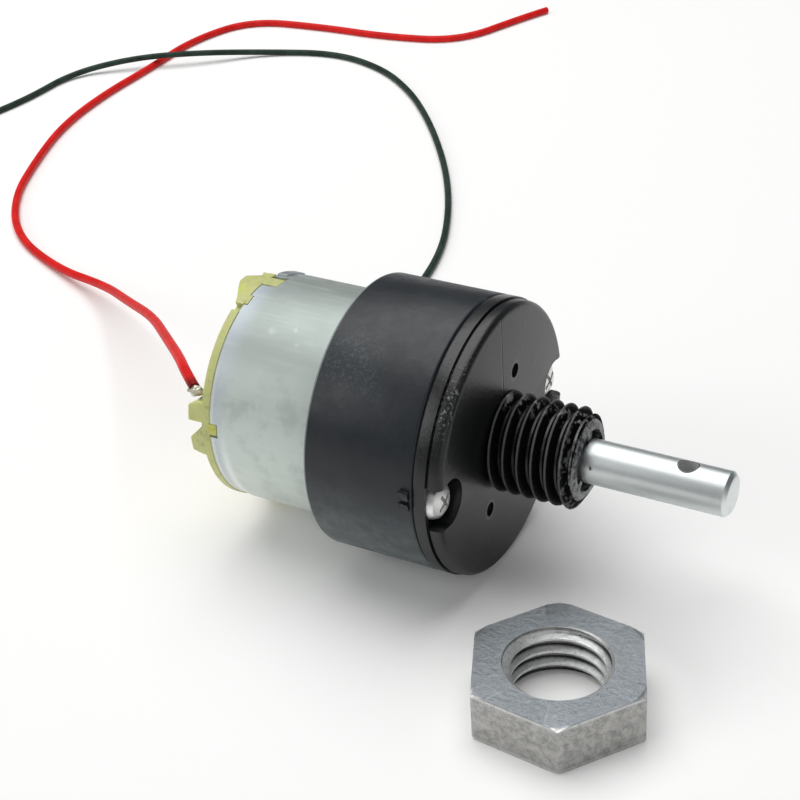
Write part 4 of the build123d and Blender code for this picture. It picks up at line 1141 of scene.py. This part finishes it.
nut_height = nut_top - nut_base
hexagon_form = bmesh.new()
hexagon_place = Matrix.Translation((nut_x, nut_y, (nut_base + nut_top) / 2)) @ Matrix.Rotation(
    nut_turn + math.radians(30), 4, "Z"
)
bmesh.ops.create_cone(
    hexagon_form, cap_ends=True, segments=6, radius1=nut_corner_r, radius2=nut_corner_r, depth=nut_height,
    matrix=hexagon_place,
)
zinc_nut = made("zinc_nut", hexagon_form, cast_zinc)
nut_limit = [
    (0, 0),
    (0, nut_face_r),
    (nut_bevel, nut_corner_r + 0.3 * mm),
    (nut_height - nut_bevel, nut_corner_r + 0.3 * mm),
    (nut_height, nut_face_r),
    (nut_height, 0),
]
cut(zinc_nut, [made("limit", stood(turned(nut_limit)), cast_zinc)], "INTERSECT")
ease(zinc_nut, 0.16 * mm, segments=2, angle=20)
nut_bore = [
    (-mm, 0),
    (-mm, nut_mouth_r + mm),
    (nut_mouth_r - nut_bore_r, nut_bore_r),
    (nut_height - nut_mouth_r + nut_bore_r, nut_bore_r),
    (nut_height + mm, nut_mouth_r + mm),
    (nut_height + mm, 0),
]
groove_start = nut_base - thread_pitch
groove_points = [
    (nut_x + nut_bore_r - foot_depth, nut_y, groove_start - foot_half),
    (nut_x + nut_thread_r, nut_y, groove_start - crest_half),
    (nut_x + nut_thread_r, nut_y, groove_start + crest_half),
    (nut_x + nut_bore_r - foot_depth, nut_y, groove_start + foot_half),
]
groove_form = ridge(groove_points, 0.1 * mm, (nut_x, nut_y, 0), (0, 0, 1), thread_pitch, 5.5)
nut_cutters = [made("bore", stood(turned(nut_bore)), cast_zinc), made("groove", groove_form, cast_zinc)]
cut(zinc_nut, nut_cutters)
bake(zinc_nut, 18)
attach(zinc_nut, "nut")
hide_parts("mounting_nut")

# Gear pins, motor shaft and motor screws
# Ground steel pins whose ends show in the lid's two small holes, the rotor's thin shaft, and the two
# screws that hold the motor to the cup's web.
pin_finish = Finish("ground_steel", Metallic=1.0)
pin_lines = pin_finish.grain(0.5, detail=3, stretch=(0.1, 1, 1))
ground_steel = pin_finish.wear(
    Base_Color=pin_finish.mix(pin_lines, (0.66, 0.67, 0.68), (0.42, 0.43, 0.44)),
    Roughness=0.24 + 0.14 * pin_lines,
    Normal=pin_finish.bump(pin_lines, 0.004),
)
refinish(ground_steel, "gear_pins", "motor_shaft")
refinish(bright_zinc, "motor_screws")

# Bush and bearings
# Sintered bronze soaked in oil: the long bush in the boss and the two short ones of the motor shaft.
bush_finish = Finish("sintered_bronze", Metallic=0.9)
bush_pores = bush_finish.ramp(bush_finish.grain(0.25, detail=2), 0.55, 0.7)
bush_oil = bush_finish.grain(1.5, detail=3)
sintered_bronze = bush_finish.wear(
    Base_Color=bush_finish.mix(0.7 * bush_pores + 0.3 * bush_oil, (0.58, 0.42, 0.22), (0.20, 0.13, 0.07)),
    Roughness=0.40 + 0.15 * bush_pores - 0.1 * bush_oil,
    Normal=bush_finish.bump(bush_pores, 0.03),
)
refinish(sintered_bronze, "shaft_bush", "front_bearing", "rear_bearing")

# Gears and thrust washer
# A cut brass pinion, one moulded nylon gear that runs fast and quiet, and three sintered steel ones.
brass_finish = Finish("cut_brass", Metallic=1.0)
brass_lines = brass_finish.grain(0.4, detail=3, stretch=(0.1, 1, 1))
cut_brass = brass_finish.wear(
    Base_Color=brass_finish.mix(brass_lines, (0.83, 0.63, 0.28), (0.62, 0.44, 0.17)),
    Roughness=0.22 + 0.15 * brass_lines,
    Normal=brass_finish.bump(brass_lines, 0.005),
)
gear_nylon_finish = Finish("gear_nylon", **{"Subsurface Weight": 0.2, "Subsurface Scale": 0.001})
gear_cloud = gear_nylon_finish.grain(2.0, detail=3)
gear_nylon = gear_nylon_finish.wear(
    Base_Color=gear_nylon_finish.mix(gear_cloud, (0.84, 0.83, 0.76), (0.70, 0.69, 0.60)),
    Roughness=0.36 + 0.12 * gear_cloud,
    Normal=gear_nylon_finish.bump(gear_cloud, 0.02),
)
gear_finish = Finish("sintered_steel", Metallic=0.95)
gear_pores = gear_finish.ramp(gear_finish.grain(0.3, detail=2), 0.55, 0.7)
gear_grease = gear_finish.grain(2.5, detail=3)
sintered_steel = gear_finish.wear(
    Base_Color=gear_finish.mix(0.6 * gear_pores + 0.4 * gear_grease, (0.50, 0.50, 0.49), (0.17, 0.165, 0.15)),
    Roughness=0.34 + 0.2 * gear_pores - 0.08 * gear_grease,
    Normal=gear_finish.bump(gear_pores, 0.02),
)
refinish(cut_brass, "motor_pinion")
refinish(gear_nylon, "first_gear")
refinish(sintered_steel, "second_gear", "third_gear", "output_gear", "thrust_washer")

# Magnets and their springs
# Two dark pressed ferrite arcs, held apart by bent spring wire.
ferrite_finish = Finish("ferrite")
ferrite_grain = ferrite_finish.grain(0.3, detail=4)
ferrite_cloud = ferrite_finish.grain(3.0, detail=3)
ferrite = ferrite_finish.wear(
    Base_Color=ferrite_finish.mix(ferrite_cloud, (0.035, 0.034, 0.036), (0.075, 0.072, 0.070)),
    Roughness=0.55 + 0.2 * ferrite_grain,
    Normal=ferrite_finish.bump(ferrite_grain, 0.02),
)
spring_finish = Finish("spring_wire", Metallic=1.0)
spring_lines = spring_finish.grain(0.6, detail=3, stretch=(0.1, 1, 1))
spring_wire = spring_finish.wear(
    Base_Color=spring_finish.mix(spring_lines, (0.40, 0.40, 0.41), (0.24, 0.24, 0.25)),
    Roughness=0.26 + 0.15 * spring_lines,
    Normal=spring_finish.bump(spring_lines, 0.004),
)
refinish(ferrite, "field_magnets")
refinish(spring_wire, "magnet_springs")

# Armature
# A stack of stamped steel sheets with three poles, each wound with enamelled copper wire, and the fibre
# washers that set its end float.
core_finish = Finish("core_sheets", Metallic=0.9)
core_x = core_finish.along(0)
sheet_lines = core_finish.node("Math", {"operation": "PINGPONG"}, {0: core_x, 1: 0.25}) * 4
core_rust = core_finish.ramp(core_finish.grain(1.5, detail=4), 0.55, 0.75)
core_sheets = core_finish.wear(
    Base_Color=core_finish.mix(core_rust, core_finish.mix(sheet_lines, (0.20, 0.21, 0.22), (0.40, 0.41, 0.43)), (0.16, 0.11, 0.08)),
    Roughness=0.38 + 0.15 * core_rust,
    Normal=core_finish.bump(sheet_lines, 0.04),
)
coil_finish = Finish("winding", Metallic=0.6)
coil_turns = coil_finish.node("Math", {"operation": "PINGPONG"}, {0: coil_finish.along(2), 1: 0.15}) / 0.15
coil_cloud = coil_finish.grain(1.2, detail=3)
copper_winding = coil_finish.wear(
    Base_Color=coil_finish.mix(0.6 * coil_turns + 0.3 * coil_cloud, (0.28, 0.09, 0.03), (0.74, 0.33, 0.13)),
    Roughness=0.24 + 0.15 * coil_cloud,
    Normal=coil_finish.bump(coil_turns, 0.08),
)
fibre_finish = Finish("fibre")
fibre_grain = fibre_finish.grain(0.6, detail=4)
fibre = fibre_finish.wear(
    Base_Color=fibre_finish.mix(fibre_grain, (0.42, 0.26, 0.14), (0.60, 0.43, 0.27)),
    Roughness=0.6 + 0.2 * fibre_grain,
    Normal=fibre_finish.bump(fibre_grain, 0.02),
)
refinish(core_sheets, "armature_core")
refinish(copper_winding, "armature_coils")
refinish(fibre, "rotor_washers")

# Commutator and brushes
# Turned copper segments on a phenolic hub, rubbed by two carbon blocks on bronze spring arms.
commutator_finish = Finish("commutator_copper", Metallic=1.0)
brush_track = commutator_finish.band(commutator_finish.along(0), -46.05, 1.2)
turning = commutator_finish.grain(0.2, detail=3, stretch=(1, 0.08, 0.08))
commutator_copper = commutator_finish.wear(
    Base_Color=commutator_finish.mix(0.7 * brush_track + 0.2 * turning, (0.86, 0.46, 0.28), (0.28, 0.14, 0.09)),
    Roughness=0.22 + 0.15 * turning,
    Normal=commutator_finish.bump(turning, 0.006),
)
phenolic_finish = Finish("phenolic")
phenolic_cloud = phenolic_finish.grain(1.0, detail=4)
phenolic = phenolic_finish.wear(
    Base_Color=phenolic_finish.mix(phenolic_cloud, (0.11, 0.04, 0.02), (0.20, 0.08, 0.04)),
    Roughness=0.4 + 0.15 * phenolic_cloud,
    Normal=phenolic_finish.bump(phenolic_cloud, 0.02),
)
carbon_finish = Finish("carbon")
carbon_grain = carbon_finish.grain(0.2, detail=4)
carbon = carbon_finish.wear(
    Base_Color=carbon_finish.mix(carbon_grain, (0.018, 0.018, 0.019), (0.065, 0.065, 0.068)),
    Roughness=0.45 + 0.25 * carbon_grain,
    Normal=carbon_finish.bump(carbon_grain, 0.015),
)
bronze_finish = Finish("spring_bronze", Metallic=1.0)
bronze_lines = bronze_finish.grain(0.8, detail=3, stretch=(1, 0.1, 1))
spring_bronze = bronze_finish.wear(
    Base_Color=bronze_finish.mix(bronze_lines, (0.80, 0.58, 0.30), (0.56, 0.38, 0.18)),
    Roughness=0.25 + 0.15 * bronze_lines,
    Normal=bronze_finish.bump(bronze_lines, 0.004),
)
refinish(commutator_copper, "commutator_segments")
refinish(phenolic, "commutator_hub")
refinish(carbon, "brushes")
refinish(spring_bronze, "brush_arms")

# Floor, lamps and background
# A pale sweep of paper under wide soft lamps, which leave one soft shadow at the motor's right.
floor_z = -gearbox_r
floor_size = 6.0
paper = Finish("paper", **{"Roughness": 0.9, "Specular IOR Level": 0.1})
paper_white = (0.97, 0.97, 0.96)
paper_glow = 0.06
camera_ray = paper.node("LightPath", output="Is Camera Ray")
paper.put(paper.shader, {"Base Color": rgba(paper_white), "Emission Strength": paper_glow})
paper.put(paper.shader, {"Emission Color": paper.mix(camera_ray, (0, 0, 0), (1, 1, 1))})
floor_form = bmesh.new()
bmesh.ops.create_grid(floor_form, x_segments=1, y_segments=1, size=floor_size / 2)
bmesh.ops.translate(floor_form, verts=floor_form.verts, vec=(0, 0, floor_z - 0.02 * mm))
floor = made("floor", floor_form, paper.material)

lamps = (
    ("key", (-0.22, 0.18, 0.85), (1.0, 1.0), 8.5),
    ("fill", (0.60, -0.55, 0.42), (0.8, 0.8), 1.1),
    ("side", (-0.62, -0.62, 0.50), (0.5, 0.5), 1.8),
)
for name, place, size, power in lamps:
    lamp = bpy.data.lights.new(name, "AREA")
    lamp.shape = "RECTANGLE"
    lamp.size, lamp.size_y = size
    lamp.energy = power
    lamp_object = bpy.data.objects.new(name, lamp)
    lamp_object.location = place
    lamp_object.rotation_euler = Vector(place).to_track_quat("Z", "Y").to_euler()
    scene.collection.objects.link(lamp_object)

world = bpy.data.worlds.new("studio")
scene.world = world
world.use_nodes = True
sky = world.node_tree
room = sky.nodes["Background"]
room.inputs["Color"].default_value = (0.93, 0.95, 0.97, 1)
room.inputs["Strength"].default_value = 0.11
seen_room = sky.nodes.new("ShaderNodeBackground")
seen_room.inputs["Strength"].default_value = 1.0
ray = sky.nodes.new("ShaderNodeLightPath")
choice = sky.nodes.new("ShaderNodeMixShader")
sky.links.new(ray.outputs["Is Camera Ray"], choice.inputs[0])
sky.links.new(room.outputs[0], choice.inputs[1])
sky.links.new(seen_room.outputs[0], choice.inputs[2])
sky.links.new(choice.outputs[0], sky.nodes["World Output"].inputs[0])
scene.view_settings.view_transform = "Standard"
